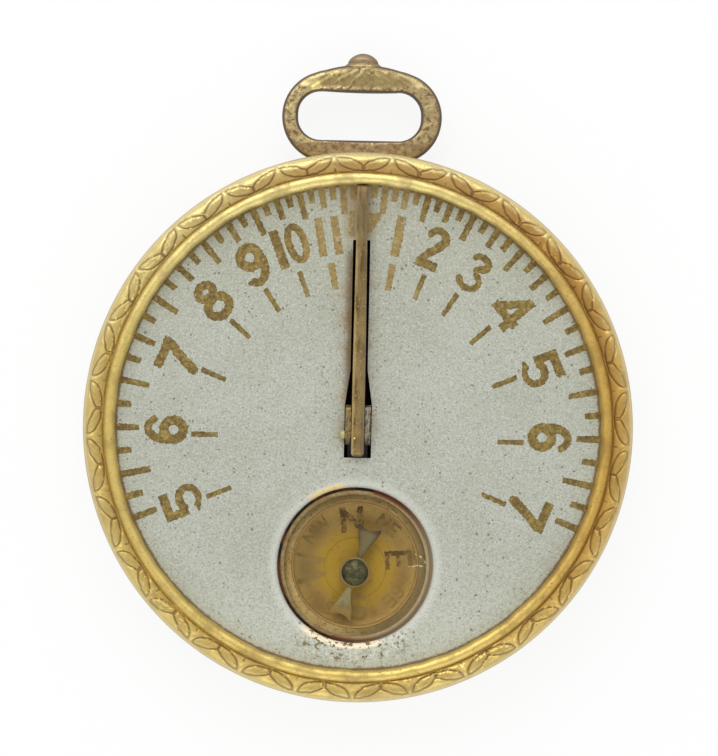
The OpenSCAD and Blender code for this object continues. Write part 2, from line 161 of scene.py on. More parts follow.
def shader_group(name, inputs, outputs):
    """A node group with named sockets, what it is given, and the place on the object."""
    group = bpy.data.node_groups.new(name, "ShaderNodeTree")
    for socket, value in inputs.items():
        kind = "NodeSocketColor" if isinstance(value, tuple) else "NodeSocketFloat"
        group.interface.new_socket(socket, in_out="INPUT", socket_type=kind).default_value = value
    for socket, kind in outputs.items():
        group.interface.new_socket(socket, in_out="OUTPUT", socket_type="NodeSocket" + kind)
    return (group, add_to(group, "NodeGroupInput").outputs,
            add_to(group, "ShaderNodeTexCoord").outputs["Object"])


def ramp(value, low, high):
    """A smooth step of a value from 0 at low to 1 at high."""
    return fed("ShaderNodeMapRange", {"Value": value, "From Min": low, "From Max": high},
               interpolation_type="SMOOTHSTEP").outputs["Result"]


def mixed(factor, a, b, blend="MIX"):
    """A colour mixed from a to b by a factor, or multiplied by b."""
    return fed("ShaderNodeMix", {0: factor, 6: a, 7: b}, data_type="RGBA", blend_type=blend).outputs[2]


def maths(operation, a, b=0.0):
    """A sum in one of the ways that a maths node knows, of numbers or sockets."""
    return fed("ShaderNodeMath", {0: a, 1: b}, operation=operation).outputs[0]


def times(a, b):
    """The product of two numbers or sockets."""
    return maths("MULTIPLY", a, b)


def plus(a, b):
    """The sum of two numbers or sockets."""
    return maths("ADD", a, b)


def minus(a, b):
    """What is left of one number or socket less another."""
    return maths("SUBTRACT", a, b)


def larger(a, b):
    """The larger of two numbers or sockets."""
    return maths("MAXIMUM", a, b)


def noise(place, scale, detail=4.0, roughness=0.55):
    """Soft noise from 0 to 1 at a scale in features per metre."""
    return fed("ShaderNodeTexNoise",
               {"Vector": place, "Scale": scale, "Detail": detail, "Roughness": roughness}).outputs["Fac"]


def stain(tint, mask, share, tone):
    """A colour with a share of a tone of 0 to 255 values mixed in where a mask says."""
    return mixed(times(mask, share), tint, colour(*tone))


def painted(place, name):
    """A value that a mesh carries at its points, such as how grimy it is there."""
    return add_to(place.id_data, "ShaderNodeAttribute", attribute_name=name).outputs["Fac"]


def build_old_metal():
    """Worn, browned metal: clean on edges, grimy in hollows, patchy, specked and pitted."""
    group, given, place = shader_group(
        "old metal",
        {"Clean": (0.8, 0.6, 0.3, 1), "Brown": (0.3, 0.2, 0.1, 1), "Grime": 0.5, "Patches": 0.4,
         "Specks": 0.3, "Chased": 0.0, "Smoothest": 0.25, "Dullest": 0.5, "Relief": 0.1},
        {"Color": "Color", "Metal": "Float", "Roughness": "Float", "Normal": "Vector"})
    bend = add_to(group, "ShaderNodeNewGeometry").outputs["Pointiness"]
    patches = ramp(noise(place, 420, 5, 0.6), 0.42, 0.68)
    fine = noise(place, 2600, 3, 0.6)
    dots = ramp(noise(place, 5200, 2, 0.5), 0.62, 0.70)
    cover = larger(times(ramp(bend, 0.50, 0.455), given["Grime"]), times(patches, given["Patches"]))
    cover = larger(cover, times(dots, given["Specks"]))
    # Values that the mesh carries: grime in hollows, and on the bow also painted shade on its edges, knob
    # and foot.
    cover = larger(cover, times(painted(place, "grime_and_shade"), given["Chased"]))
    cover = minus(cover, times(ramp(bend, 0.515, 0.56), 0.5))
    cover = plus(cover, times(minus(fine, 0.5), 0.25))
    cover = fed("ShaderNodeClamp", {"Value": cover}).outputs[0]
    rough = fed("ShaderNodeMapRange", {"Value": cover, "To Min": given["Smoothest"],
                                       "To Max": given["Dullest"]}).outputs["Result"]
    bump = fed("ShaderNodeBump",
               {"Strength": given["Relief"], "Distance": 0.00002, "Height": minus(fine, dots)})
    fed("NodeGroupOutput",
        {"Color": mixed(cover, given["Clean"], given["Brown"]), "Metal": minus(1.0, times(cover, 0.75)),
         "Roughness": rough, "Normal": bump.outputs["Normal"]})
    return group


old_metal = build_old_metal()


def metal_finish(name, clean, brown, over=None, **amounts):
    """A metal material from the old metal group, with its colour changed by over if given."""
    material, place = new_material(name)
    worn = add_to(material.node_tree, "ShaderNodeGroup",
                  {"Clean": colour(*clean), "Brown": colour(*brown), **amounts},
                  node_tree=old_metal).outputs
    tint = over(place, worn["Color"]) if over else worn["Color"]
    return shaded(material,
                  {"Base Color": tint, "Roughness": worn["Roughness"], "Normal": worn["Normal"],
                   "Metallic": worn["Metal"], "Specular IOR Level": 0.3})


case_r = box_of("bezel")[1].x
dial_z = box_of("case_back")[1].z
pan_wall = 0.5
wall_r = box_of("case_back")[1].x
shoulder_w = 6.0
shoulder_h = 3.0
rest_r = wall_r - shoulder_w


def vector(operation, a, b=(0, 0, 0)):
    """One sum of two vectors, as outputs: the first is a vector and the other, Value, a number."""
    return fed("ShaderNodeVectorMath", {0: a, 1: b}, operation=operation).outputs


def axes(place):
    """The coordinates X, Y and Z of a place, in metres."""
    return fed("ShaderNodeSeparateXYZ", {"Vector": place}).outputs


def painted_shade_inside(place, tint):
    """Painted shade: nearly black inside the pan, below the dial."""
    away = vector("LENGTH", vector("MULTIPLY", place, (1, 1, 0))[0])["Value"]
    inside = times(ramp(away, (wall_r - 0.1) * MM, (wall_r - 0.4) * MM),
                   ramp(axes(place)["Z"], 0.2 * MM, 0.45 * MM))
    return mixed(inside, tint, colour(40, 30, 22))


gilt = metal_finish("gilt", (232, 200, 124), (150, 108, 52), painted_shade_inside, Grime=0.8, Patches=0.35,
                    Specks=0.3, Smoothest=0.28, Dullest=0.45, Relief=0.06)
back = turned_piece("case_back_pan",
                    [(hub_r, 0), *arc(rest_r, shoulder_h, shoulder_w, shoulder_h, -90, 0, 32),
                     (wall_r, dial_z), (wall_r - pan_wall, dial_z),
                     *arc(rest_r, shoulder_h, shoulder_w - pan_wall, shoulder_h - pan_wall, 0, -90, 24),
                     (hub_r, pan_wall)])
dress(back, gilt, "case", "gilt", "case_back")


# Dial plate
# A brass disc painted silver grey, also over the flush rivets. It has a slot for the blade and
# a hole for the compass, whose edge is rolled over. Rust has crept out along the slot.

dial_top = box_of("dial_plate")[1].z


def middle_of(node, axis):
    """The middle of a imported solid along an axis, in millimetres."""
    low, high = box_of(node)
    return (getattr(low, axis) + getattr(high, axis)) / 2


hole_y = middle_of("compass_bowl", "y")
pin_y = middle_of("hinge_pin", "y")


def break_edges(piece, width, steps=2, angle=38, harden=True):
    """Bevels the edges of a piece that are sharper than an angle."""
    edges = piece.modifiers.new("bevel", "BEVEL")
    edges.width = width * MM
    edges.segments = steps
    edges.limit_method = "ANGLE"
    edges.angle_limit = math.radians(angle)
    edges.harden_normals = harden


def copied_piece(name, node, bevel=0.0, steps=2):
    """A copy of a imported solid's mesh with its edges broken by a small bevel."""
    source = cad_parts[node]
    piece = bpy.data.objects.new(name, source.data.copy())
    piece.data.name = name
    bpy.context.scene.collection.objects.link(piece)
    weld = piece.modifiers.new("weld", "WELD")
    weld.merge_threshold = 0.002 * MM
    if bevel:
        break_edges(piece, bevel, steps)
    return piece


def build_specks():
    """Round specks: a share of the cells of a grid of dots, each with its own size."""
    group, given, place = shader_group("specks", {"Scale": 1000.0, "Share": 0.3, "Size": 0.3},
                                       {"Mask": "Float"})
    wobble = fed("ShaderNodeTexNoise", {"Vector": place, "Scale": 3500.0, "Detail": 2.0})
    moved = vector("MULTIPLY", wobble.outputs["Color"], (0.0002, 0.0002, 0.0002))[0]
    cells = fed("ShaderNodeTexVoronoi",
                {"Vector": vector("ADD", place, moved)[0], "Scale": given["Scale"]},
                voronoi_dimensions="3D").outputs
    chance = fed("ShaderNodeSeparateColor", {"Color": cells["Color"]}).outputs
    kept = maths("LESS_THAN", chance[0], given["Share"])
    reach = times(chance[1], given["Size"])
    inside = ramp(minus(reach, cells["Distance"]), 0.0, 0.06)
    fed("NodeGroupOutput", {"Mask": times(kept, inside)})
    return group


specks = build_specks()


def speck_mask(place, scale, share, size):
    """The mask of one size of speck."""
    return add_to(place.id_data, "ShaderNodeGroup", {"Scale": scale, "Share": share, "Size": size},
                  node_tree=specks).outputs["Mask"]


def distance_to(place, x, y):
    """Distance in metres, seen from above, from a point given in millimetres."""
    flat = vector("MULTIPLY", place, (1, 1, 0))[0]
    return vector("DISTANCE", flat, (x * MM, y * MM, 0))["Value"]


def facing(place, x, y, bearing):
    """How squarely a point lies in a compass direction from a place in mm: 1 ahead, -1 behind."""
    turn = math.radians(bearing)
    away = vector("SUBTRACT", place, (x * MM, y * MM, 0))[0]
    unit = vector("NORMALIZE", vector("MULTIPLY", away, (1, 1, 0))[0])[0]
    return vector("DOT_PRODUCT", unit, (math.sin(turn), math.cos(turn), 0))["Value"]


def dial_paint():
    """Specked silver-grey paint, warmer at the top, rusty along the slot, with painted shade beside the
    slot's left side and painted highlights on the rolled edge round the hole.
    """
    material, place = new_material("dial paint")
    axis = axes(place)
    cloud = noise(place, 160, 4, 0.6)
    mottle = noise(place, 2300, 3, 0.6)
    grain = noise(place, 6200, 3, 0.6)
    tint = mixed(ramp(cloud, 0.35, 0.7), colour(180, 183, 171), colour(172, 175, 161))
    top = ramp(axis["Y"], 0.004, 0.022)
    tint = stain(tint, top, 0.5, (164, 162, 138))
    bottom = ramp(axis["Y"], -0.011, -0.021)
    tint = stain(tint, bottom, 0.6, (204, 207, 192))
    tint = stain(tint, ramp(mottle, 0.48, 0.66), 0.42, (160, 162, 144))
    tint = stain(tint, ramp(grain, 0.47, 0.35), 0.6, (206, 209, 201))
    tint = stain(tint, ramp(grain, 0.54, 0.66), 0.7, (142, 142, 122))
    hole = distance_to(place, 0, hole_y)
    # Painted highlight on the rolled edge round the hole: a pale ring, with cream crescents below it and
    # at the upper left.
    pale = times(ramp(hole, 0.0079, 0.0071), 0.5)
    tint = mixed(pale, tint, colour(212, 214, 203))
    dabs = noise(place, 2100, 5, 0.7)
    near = ramp(plus(hole, times(dabs, 0.0004)), 0.00755, 0.0074)
    turned = ramp(facing(place, 0, hole_y, 190), 0.82, 0.92)
    tint = stain(tint, turned, times(near, 0.95), (255, 238, 204))
    turned = ramp(facing(place, 0, hole_y, -22), 0.96, 0.99)
    tint = stain(tint, turned, times(near, 0.7), (238, 208, 130))
    below = times(ramp(facing(place, 0, hole_y, 180), 0.7, 0.86), ramp(hole, 0.0092, 0.0080))
    tint = stain(tint, below, ramp(dabs, 0.54, 0.6), (122, 106, 70))
    tint = stain(tint, below, ramp(dabs, 0.45, 0.38), (216, 214, 194))
    rim = plus(distance_to(place, 0, 0), times(minus(dabs, 0.5), 0.0004))
    tint = stain(tint, ramp(rim, 0.02090, 0.02112), 0.85, (104, 78, 44))
    across = maths("ABSOLUTE", plus(axis["X"], 0.0003))
    along = times(ramp(axis["Y"], -0.0035, 0.0), ramp(axis["Y"], 0.0165, 0.012))
    rust = times(ramp(across, 0.0024, 0.0006), along)
    rust = times(rust, ramp(noise(place, 700, 6, 0.75), 0.42, 0.62))
    tint = stain(tint, rust, 0.6, (154, 128, 88))
    # Painted shade darkens the dial along the left side of the slot.
    wobbly = plus(axis["X"], times(dabs, 0.0006))
    shade = times(ramp(wobbly, -0.00135, -0.0005), ramp(axis["X"], 0.0, -0.0001))
    shade = times(shade, times(ramp(axis["Y"], 0.001, 0.004), ramp(axis["Y"], 0.0165, 0.0145)))
    tint = stain(tint, shade, 0.85, (104, 80, 48))
    tip = times(ramp(across, 0.0017, 0.0007), ramp(axis["Y"], 0.0160, 0.0168))
    tint = stain(tint, tip, 0.62, (158, 132, 86))
    tint = stain(tint, speck_mask(place, 3900, 0.35, 0.42), 0.45, (140, 134, 110))
    tint = stain(tint, speck_mask(place, 3000, 0.13, 0.42), 0.65, (94, 88, 70))
    near = plus(ramp(across, 0.0075, 0.001), 0.15)
    brown = times(speck_mask(place, 3100, 0.4, 0.45), near)
    tint = stain(tint, brown, 0.5, (140, 118, 78))
    bump = fed("ShaderNodeBump", {"Strength": 0.2, "Distance": 0.00002, "Height": plus(mottle, grain)})
    return shaded(material,
                  {"Base Color": tint, "Roughness": ramp(grain, -0.8, 2.4), "Specular IOR Level": 0.35,
                   "Normal": bump.outputs["Normal"]})


paint = dial_paint()
dial = copied_piece("dial_face", "dial_plate")
dress(dial, paint, "case", "dial_paint", "dial_plate")

rivet_low, rivet_high = box_of("bracket_rivets")
rivet_r = 0.8
for side, x in (("left", rivet_low.x + rivet_r), ("right", rivet_high.x - rivet_r)):
    for end, y in (("front", rivet_high.y - rivet_r), ("back", rivet_low.y + rivet_r)):
        skin = turned_piece(f"paint_over_rivet_{side}_{end}",
                            [(hub_r, dial_top - 0.05), (rivet_r, dial_top - 0.05),
                             (rivet_r + 0.05, dial_top), (rivet_r, dial_top + 0.006),
                             (hub_r, dial_top + 0.006)], (x, y), 48)
        dress(skin, paint, "case", "dial_paint")


# Printed scale
# Hour numbers and quarter-hour marks printed in gold-brown ink, thinner where it has worn
# away near 12. The lines fan out as the shadow does on a flat sundial.

ink_t = 0.012
latitude = math.radians(41.06)
hour_y = -0.51
number_ring = 16.8
mark_ring, mark_half = 13.38, 1.15
mark_w, first_mark_w = 0.46, 0.6
scale_edge = 21.3
far_off = 9.0
full_turn = 6.28
ragged = np.random.default_rng(7)


def slope(value, start, width):
    """Rises from 0 at the start to 1 a width further up, or further down if it is negative."""
    return np.clip((value - start) / width, 0, 1)


def beside(x, y, start, end):
    """How far points are along a straight line, from 0 to 1, and how far away from it."""
    dx, dy = end[0] - start[0], end[1] - start[1]
    x, y = x - start[0], y - start[1]
    share = np.clip((x * dx + y * dy) / (dx * dx + dy * dy), 0, 1)
    return share, np.hypot(x - share * dx, y - share * dy)


def segment(points, widths):
    """A pen stroke along points. The half width runs evenly from its first to its last value."""
    steps = np.linspace(widths[0], widths[-1], len(points))

    def gap(x, y):
        nearest = np.full(x.shape, far_off)
        for start, end, first, last in zip(points[:-1], points[1:], steps[:-1], steps[1:]):
            share, away = beside(x, y, start, end)
            nearest = np.minimum(nearest, away - first - (last - first) * share)
        return nearest
    return gap


def block(x0, x1, y0, y1, lean=0.0):
    """A stroke with square ends that fills a box, leaning to the right by a share of its height."""
    def gap(x, y):
        x = x - lean * (y - (y0 + y1) / 2)
        across = np.abs(x - (x0 + x1) / 2) - (x1 - x0) / 2
        along = np.abs(y - (y0 + y1) / 2) - (y1 - y0) / 2
        outside = np.hypot(np.maximum(across, 0), np.maximum(along, 0))
        return outside + np.minimum(np.maximum(across, along), 0)
    return gap


def loop(x, y, rx, ry, width):
    """A closed oval stroke."""
    return segment(arc(x, y, rx, ry, 0, 360, 28), [width])


# For each digit, its middle across and up, and its strokes.
GLYPHS = {
    "0": (0.42, 0.67, [loop(0.42, 0.67, 0.69, 1.5, 0.31)]),
    "1": (0.03, 0.54, [block(-0.37, 0.43, -1.23, 2.3)]),
    "l": (0.03, 0.54, [block(-0.32, 0.36, -1.18, 2.2)]),
    "2": (0.0, 0.6, [segment(arc(0.05, 1.6, 0.72, 0.62, 170, -20, 12), [0.27, 0.38]),
                     segment([(0.73, 1.4), (0.3, 0.65), (-0.25, 0.05), (-0.6, -0.6)], [0.38, 0.34]),
                     block(-1.07, 0.9, -1.28, -0.5)]),
    "3": (0.36, 0.52, [segment(arc(0.25, 1.5, 0.7, 0.52, 165, -60, 12), [0.26, 0.36]),
                       segment([(0.6, 1.05), (0.2, 0.72)], [0.34, 0.24]),
                       segment(arc(0.2, -0.3, 0.9, 0.74, 75, -155, 14), [0.26, 0.4, 0.3])]),
    "4": (0.26, 0.35, [block(0.6, 1.36, -1.47, 2.17), block(-1.13, 1.65, -0.75, -0.02),
                       segment([(0.98, 1.95), (-0.7, -0.3)], [0.3, 0.4])]),
    "5": (0.0, -0.24, [block(-1.35, 1.05, 0.82, 1.63), block(-1.4, -0.68, -0.5, 1.6),
                       segment(arc(-0.05, -0.85, 0.96, 0.86, 128, -140, 18), [0.36, 0.42, 0.26]),
                       segment([(-0.75, -1.42), (-1.25, -1.42)], [0.26, 0.12])]),
    "6": (-0.05, 0.0, [loop(-0.1, -0.65, 0.83, 0.85, 0.41),
                       segment(arc(0.05, 0.1, 1.0, 1.5, 38, 180, 14), [0.28, 0.4]),
                       segment([(-0.95, 0.1), (-0.93, -0.65)], [0.4])]),
    "7": (0.0, 0.23, [block(-1.53, 1.25, 1.27, 2.07),
                      segment([(0.85, 1.4), (0.3, 0.5), (-0.1, -0.35), (-0.5, -1.3)], [0.38, 0.42])]),
    "8": (-0.05, 0.4, [loop(-0.02, 1.38, 0.7, 0.58, 0.37), loop(-0.13, -0.3, 0.96, 0.84, 0.39)]),
    "9": (0.0, 0.6, [loop(0.02, 1.34, 0.84, 0.85, 0.41),
                     segment(arc(-0.25, 0.9, 1.13, 1.85, 0, -118, 16), [0.4, 0.34]),
                     segment([(-0.78, -0.72), (-1.2, -0.6)], [0.32, 0.14])]),
}


def shapes(parts, size=1.0):
    """Distance field of groups of strokes, each with its own shift, drawn at a size."""
    def gap(x, y):
        found = np.full(x.shape, far_off)
        for shift_x, shift_y, strokes in parts:
            for stroke in strokes:
                found = np.minimum(found, stroke(x / size + shift_x, y / size + shift_y))
        return found * size
    return gap


def glyph(letters, shifts):
    """Distance field of one or two digits, each shifted sideways from the middle."""
    parts = []
    for letter, shift in zip(letters, shifts):
        x, y, strokes = GLYPHS[letter]
        parts.append((x - shift, y, strokes))
    return shapes(parts)


def film(gap, half_x, half_y, place, step=0.045, rough=0.05):
    """Ink inside a distance field: points, depth from the ink's edge and faces, put in place."""
    xs = np.arange(-half_x, half_x + step, step)
    ys = np.arange(-half_y, half_y + step, step)
    x, y = np.meshgrid(xs, ys, indexing="ij")
    wave = np.zeros(x.shape)
    for reach in (0.5, 0.25, 0.14):
        turn, shift = ragged.uniform(0, full_turn, 5), ragged.uniform(0, full_turn, 5)
        for t, s in zip(turn, shift):
            along = x * math.cos(t) + y * math.sin(t)
            wave += np.sin(along * full_turn / reach + s) * reach ** 0.5
    deep = -gap(x, y) + rough * wave / 2.6
    points, depths, faces, seen = [], [], [], {}

    def corner(i, j):
        if ("c", i, j) not in seen:
            seen["c", i, j] = len(points)
            points.append((x[i, j], y[i, j]))
            depths.append(deep[i, j])
        return seen["c", i, j]

    def crossing(i, j, k, m):
        key = ("e", *sorted([(i, j), (k, m)]))
        if key not in seen:
            share = deep[i, j] / (deep[i, j] - deep[k, m])
            seen[key] = len(points)
            points.append((x[i, j] + (x[k, m] - x[i, j]) * share,
                           y[i, j] + (y[k, m] - y[i, j]) * share))
            depths.append(0.0)
        return seen[key]

    inked = deep > 0
    cells = (inked[:-1, :-1] | inked[1:, :-1] | inked[1:, 1:] | inked[:-1, 1:])
    for i, j in zip(*np.nonzero(cells)):
        ring = [(i, j), (i + 1, j), (i + 1, j + 1), (i, j + 1)]
        face = []
        for n in range(4):
            here, there = ring[n], ring[(n + 1) % 4]
            if inked[here]:
                face.append(corner(*here))
            if inked[here] != inked[there]:
                face.append(crossing(*here, *there))
        if len(face) > 2:
            faces.append(face)
    return place(np.array(points)), depths, faces


def paint_points(piece, name, values):
    """Gives the points of a mesh values that its material reads by this name."""
    layer = piece.data.attributes.new(name, "FLOAT", "POINT")
    layer.data.foreach_set("value", np.ravel(values).astype(np.float32))


def printed_piece(name, films, height):
    """One thin layer of ink from many films, with its edges turned down into the paint."""
    points, depths, faces = [], [], []
    for some, deep, polygons in films:
        if not polygons:
            continue
        start = len(points)
        points.extend((px, py, height + ink_t) for px, py in some)
        depths.extend(deep)
        faces.extend([[start + k for k in face] for face in polygons])
    sides = {}
    for face in faces:
        for a, b in zip(face, face[1:] + face[:1]):
            if (b, a) in sides:
                del sides[b, a]
            else:
                sides[a, b] = True
    below = {}
    for a, b in sides:
        for k in (a, b):
            if k not in below:
                below[k] = len(points)
                points.append((points[k][0], points[k][1], height - ink_t))
                depths.append(0.0)
        faces.append([b, a, below[a], below[b]])
    piece = mesh_piece(name, points, faces)
    paint_points(piece, "depth", depths)
    return piece


def turned_place(x, y, angle):
    """Puts a film's points round a place, with its top turned clockwise by an angle."""
    def place(points):
        s, c = math.sin(angle), math.cos(angle)
        return np.stack([x + points[:, 0] * c + points[:, 1] * s,
                         y - points[:, 0] * s + points[:, 1] * c], axis=1)
    return place


def worn_two(x, y):
    """What the blade and wear have left of the 2 at noon: a patch that narrows downwards."""
    reach = 1.25 * np.sqrt(slope(y, -0.95, 1.4)) - 0.62
    return np.maximum.reduce([x - reach, -0.62 - x, y - 0.9, -0.9 - y])


def hour_angle(hours):
    """Direction of an hour line, clockwise from 12."""
    turn = math.radians(15 * hours)
    return math.atan2(math.sin(latitude) * math.sin(turn), math.cos(turn))


def along_line(angle, ring):
    """How far from the hour centre a line crosses a ring about the case's middle."""
    return -hour_y * math.cos(angle) + math.sqrt(ring ** 2 - (hour_y * math.sin(angle)) ** 2)


def on_line(angle, reach, shift):
    """Puts a film's points on an hour line, this far out and shifted clockwise."""
    return turned_place(reach * math.sin(angle) + shift * math.cos(angle),
                        hour_y + reach * math.cos(angle) - shift * math.sin(angle), angle)


def mark(angle, inner, outer, width, inner_width, shift):
    """One printed mark along an hour line, between two rings and shifted clockwise."""
    inner, outer = along_line(angle, inner), along_line(angle, outer)
    middle, half = (inner + outer) / 2, (outer - inner) / 2

    def gap(x, y):
        share = slope(y, -half, 2 * half)
        across = np.abs(x) - inner_width / 2 - (width - inner_width) / 2 * share
        return np.maximum(across, np.abs(y) - half)
    return film(gap, width / 2 + 0.2, half + 0.2, on_line(angle, middle, shift), 0.05, 0.04)


# Hours from noon, the digits, and how far the print is moved clockwise and outwards.
NUMBERS = [
    (-7, "5", 0.04, -0.17), (-6, "6", 0.02, -0.06), (-5, "7", -0.1, -0.06), (-4, "8", 0.04, 0),
    (-3, "9", 0.12, 0.05), (-2, "10", 0.1, 0.12), (-1, "ll", 0.15, 0.11), (1, "1", 0.14, 0.23),
    (2, "2", 0.09, 0.13), (3, "3", 0.58, 0.12), (4, "4", 0.37, 0.08), (5, "5", 0.69, -0.08),
    (6, "6", 0.1, -0.06), (7, "7", 0.48, -0.23)]
SHIFTS = {"10": (-1.2, 0.45), "ll": (-0.72, 0.68)}

# Where the edge marks begin at the full hour and at each quarter after it.
MARK_STARTS = (19.15, 19.78, 18.5, 19.78)

films = []
for hours, letters, nudge, lift in NUMBERS:
    angle = hour_angle(hours)
    reach = along_line(angle, number_ring + lift)
    shape = glyph(letters, SHIFTS.get(letters, (0.0, 0.0)))
    films.append(film(shape, 2.3, 2.4, on_line(angle, reach, nudge)))
    width = first_mark_w if abs(hours) == 1 else mark_w
    films.append(mark(angle, mark_ring - mark_half, mark_ring + mark_half, width, width - 0.06,
                      0.075 * hours + 0.07))
for quarter in range(-28, 29):
    angle = hour_angle(quarter / 4)
    inner = MARK_STARTS[quarter % 4] + 0.22 * math.cos(angle)
    inner += ragged.uniform(-0.1, 0.1)
    films.append(mark(angle, inner, scale_edge, 0.62, 0.5 + ragged.uniform(-0.05, 0.05), 0.11))
films.append(film(worn_two, 1.0, 1.3, turned_place(0.95, 17.85, 0.0)))
films.append(film(block(-0.22, 0.22, -1.1, 1.1), 0.5, 1.3, turned_place(-0.88, 17.8, 0.0)))


def dial_ink():
    """Olive-brown ink, darker along its edges, thin and golden where it is worn near 12."""
    material, place = new_material("dial ink")
    axis = axes(place)
    deep = painted(place, "depth")
    grain = noise(place, 2600, 4, 0.7)
    cloud = noise(place, 600, 4, 0.6)
    dots = noise(place, 3400, 4, 0.6)
    tint = mixed(ramp(cloud, 0.35, 0.65), colour(140, 121, 62), colour(122, 102, 54))
    tint = stain(tint, ramp(grain, 0.46, 0.6), 0.6, (96, 76, 40))
    tint = stain(tint, ramp(dots, 0.47, 0.34), 0.75, (170, 144, 86))
    tint = stain(tint, ramp(dots, 0.53, 0.66), 0.75, (84, 66, 40))
    tint = stain(tint, ramp(deep, 0.1, 0.0), 0.45, (94, 80, 46))
    near = ramp(maths("ABSOLUTE", axis["X"]), 0.0056, 0.0042)
    worn = times(near, ramp(axis["Y"], 0.008, 0.012))
    tint = stain(tint, worn, 0.5, (176, 152, 104))
    tint = stain(tint, ramp(grain, 0.5, 0.64), 0.45, (106, 86, 54))
    gone = ramp(noise(place, 1700, 5, 0.75), 0.44, 0.30)
    gone = times(gone, plus(times(worn, 0.5), 0.15))
    tint = mixed(gone, tint, colour(186, 180, 156))
    return shaded(material,
                  {"Base Color": tint, "Roughness": ramp(grain, -0.6, 2.4), "Specular IOR Level": 0.4})


scale = printed_piece("dial_scale", films, dial_top)
dress(scale, dial_ink(), "case", "dial_paint")


# Bezel
# Stamped from thin brass sheet and gilt. Its band carries a wreath of paired leaves, and a
# polished bead runs inside it. It snaps over the pan's wall and holds the dial down.

motifs = 29
motif_columns = 64
skirt_z = box_of("bezel")[0].z
bezel_z = box_of("bezel")[1].z
crest_r = case_r - 0.846
groove_r = case_r - 1.76
bead_r = 0.5
bead_w = 0.52
view_r = case_r - 2.8
bead_z = bezel_z - bead_r
leaf_low, leaf_high = 22.3, 23.6
leaf_span = 2 * math.pi / motifs / 2
wreath_r = 23
leaf_w = leaf_span * wreath_r
sheet_t = 0.45
shoulder_z = 6.1
stem_r, rim_r, band_r = 22.8, 23.66, 23.7


def leaf_outline():
    """One leaf of a pair, as (width from the pair's middle, radius), in millimetres."""
    rise = np.linspace(0, 1, 40) ** 0.75
    outer = 0.9 * np.sqrt(1 - (1 - rise) ** 2.2)
    t = np.maximum((rise - 0.42) / 0.58, 0)
    inner = 0.03 + 0.5 * t + 0.25 * t ** 6
    radius = leaf_low + (leaf_high - leaf_low) * rise
    return np.concatenate([np.stack([outer * leaf_w, radius], 1),
                           np.stack([inner * leaf_w, radius], 1)[::-1]])


def signed_gap(points, outline):
    """Distance of points from a closed outline, negative inside it."""
    nearest = np.full(len(points), far_off)
    inside = np.zeros(len(points), bool)
    for a, b in zip(outline, np.roll(outline, -1, axis=0)):
        along = b - a
        length = along @ along
        if length < 1e-12:
            continue
        share = np.clip(((points - a) @ along) / length, 0, 1)
        nearest = np.minimum(nearest, np.hypot(*(points - a - share[:, None] * along).T))
        crosses = (a[1] > points[:, 1]) != (b[1] > points[:, 1])
        if a[1] != b[1]:
            x = a[0] + (points[:, 1] - a[1]) / (b[1] - a[1]) * along[0]
            inside ^= crosses & (points[:, 0] < x)
    return np.where(inside, -nearest, nearest)


def hump(away, width, power=2):
    """One in the middle, falling to nothing over a width on both sides."""
    return np.exp(-(away / width) ** power)


def leaf_relief(wide, radius):
    """Height of the chased band above its smooth form, and how dark it is with old dirt."""
    gap = signed_gap(np.stack([wide.ravel(), radius.ravel()], 1), leaf_outline())
    gap = gap.reshape(wide.shape)
    line = hump(gap, 0.1)
    lip = hump(gap - 0.2, 0.09) * slope(radius, stem_r, 0.3)
    dome = np.where(gap < 0, 0.05 * (1 - hump(gap, 0.2)), 0)
    rise = slope(radius, leaf_low, leaf_high - leaf_low)
    middle = (0.47 * np.sqrt(rise) + 0.22 * rise ** 2) * leaf_w
    vein = hump(wide - middle, 0.07) * slope(-gap, 0, 0.1)
    edge = leaf_w - wide
    band = slope(radius, band_r, -0.1)
    ridge = hump(edge, 0.1) * slope(radius, 22.75, 0.3) * band
    dart = hump(edge, 0.08) * slope(radius, stem_r, -0.25)
    dart *= slope(radius, 22.1, 0.1)
    rim = hump(radius - rim_r, 0.06)
    height = dome - 0.07 * line + 0.02 * lip - 0.015 * vein + 0.045 * ridge - 0.04 * dart
    height -= 0.01 * rim
    inside = slope(-gap, 0, 0.08) * (1.3 - rise)
    wash = slope(radius, 23.15, -0.6) * (1 - 0.8 * ridge)
    valley = hump(radius - groove_r - 0.12, 0.22, 4)
    dirt = np.maximum.reduce([line, 0.9 * dart, 0.42 * inside, 0.6 * vein, 0.25 * rim,
                              0.3 * valley, 0.42 * wash])
    return height, dirt * (radius > view_r + bead_w)


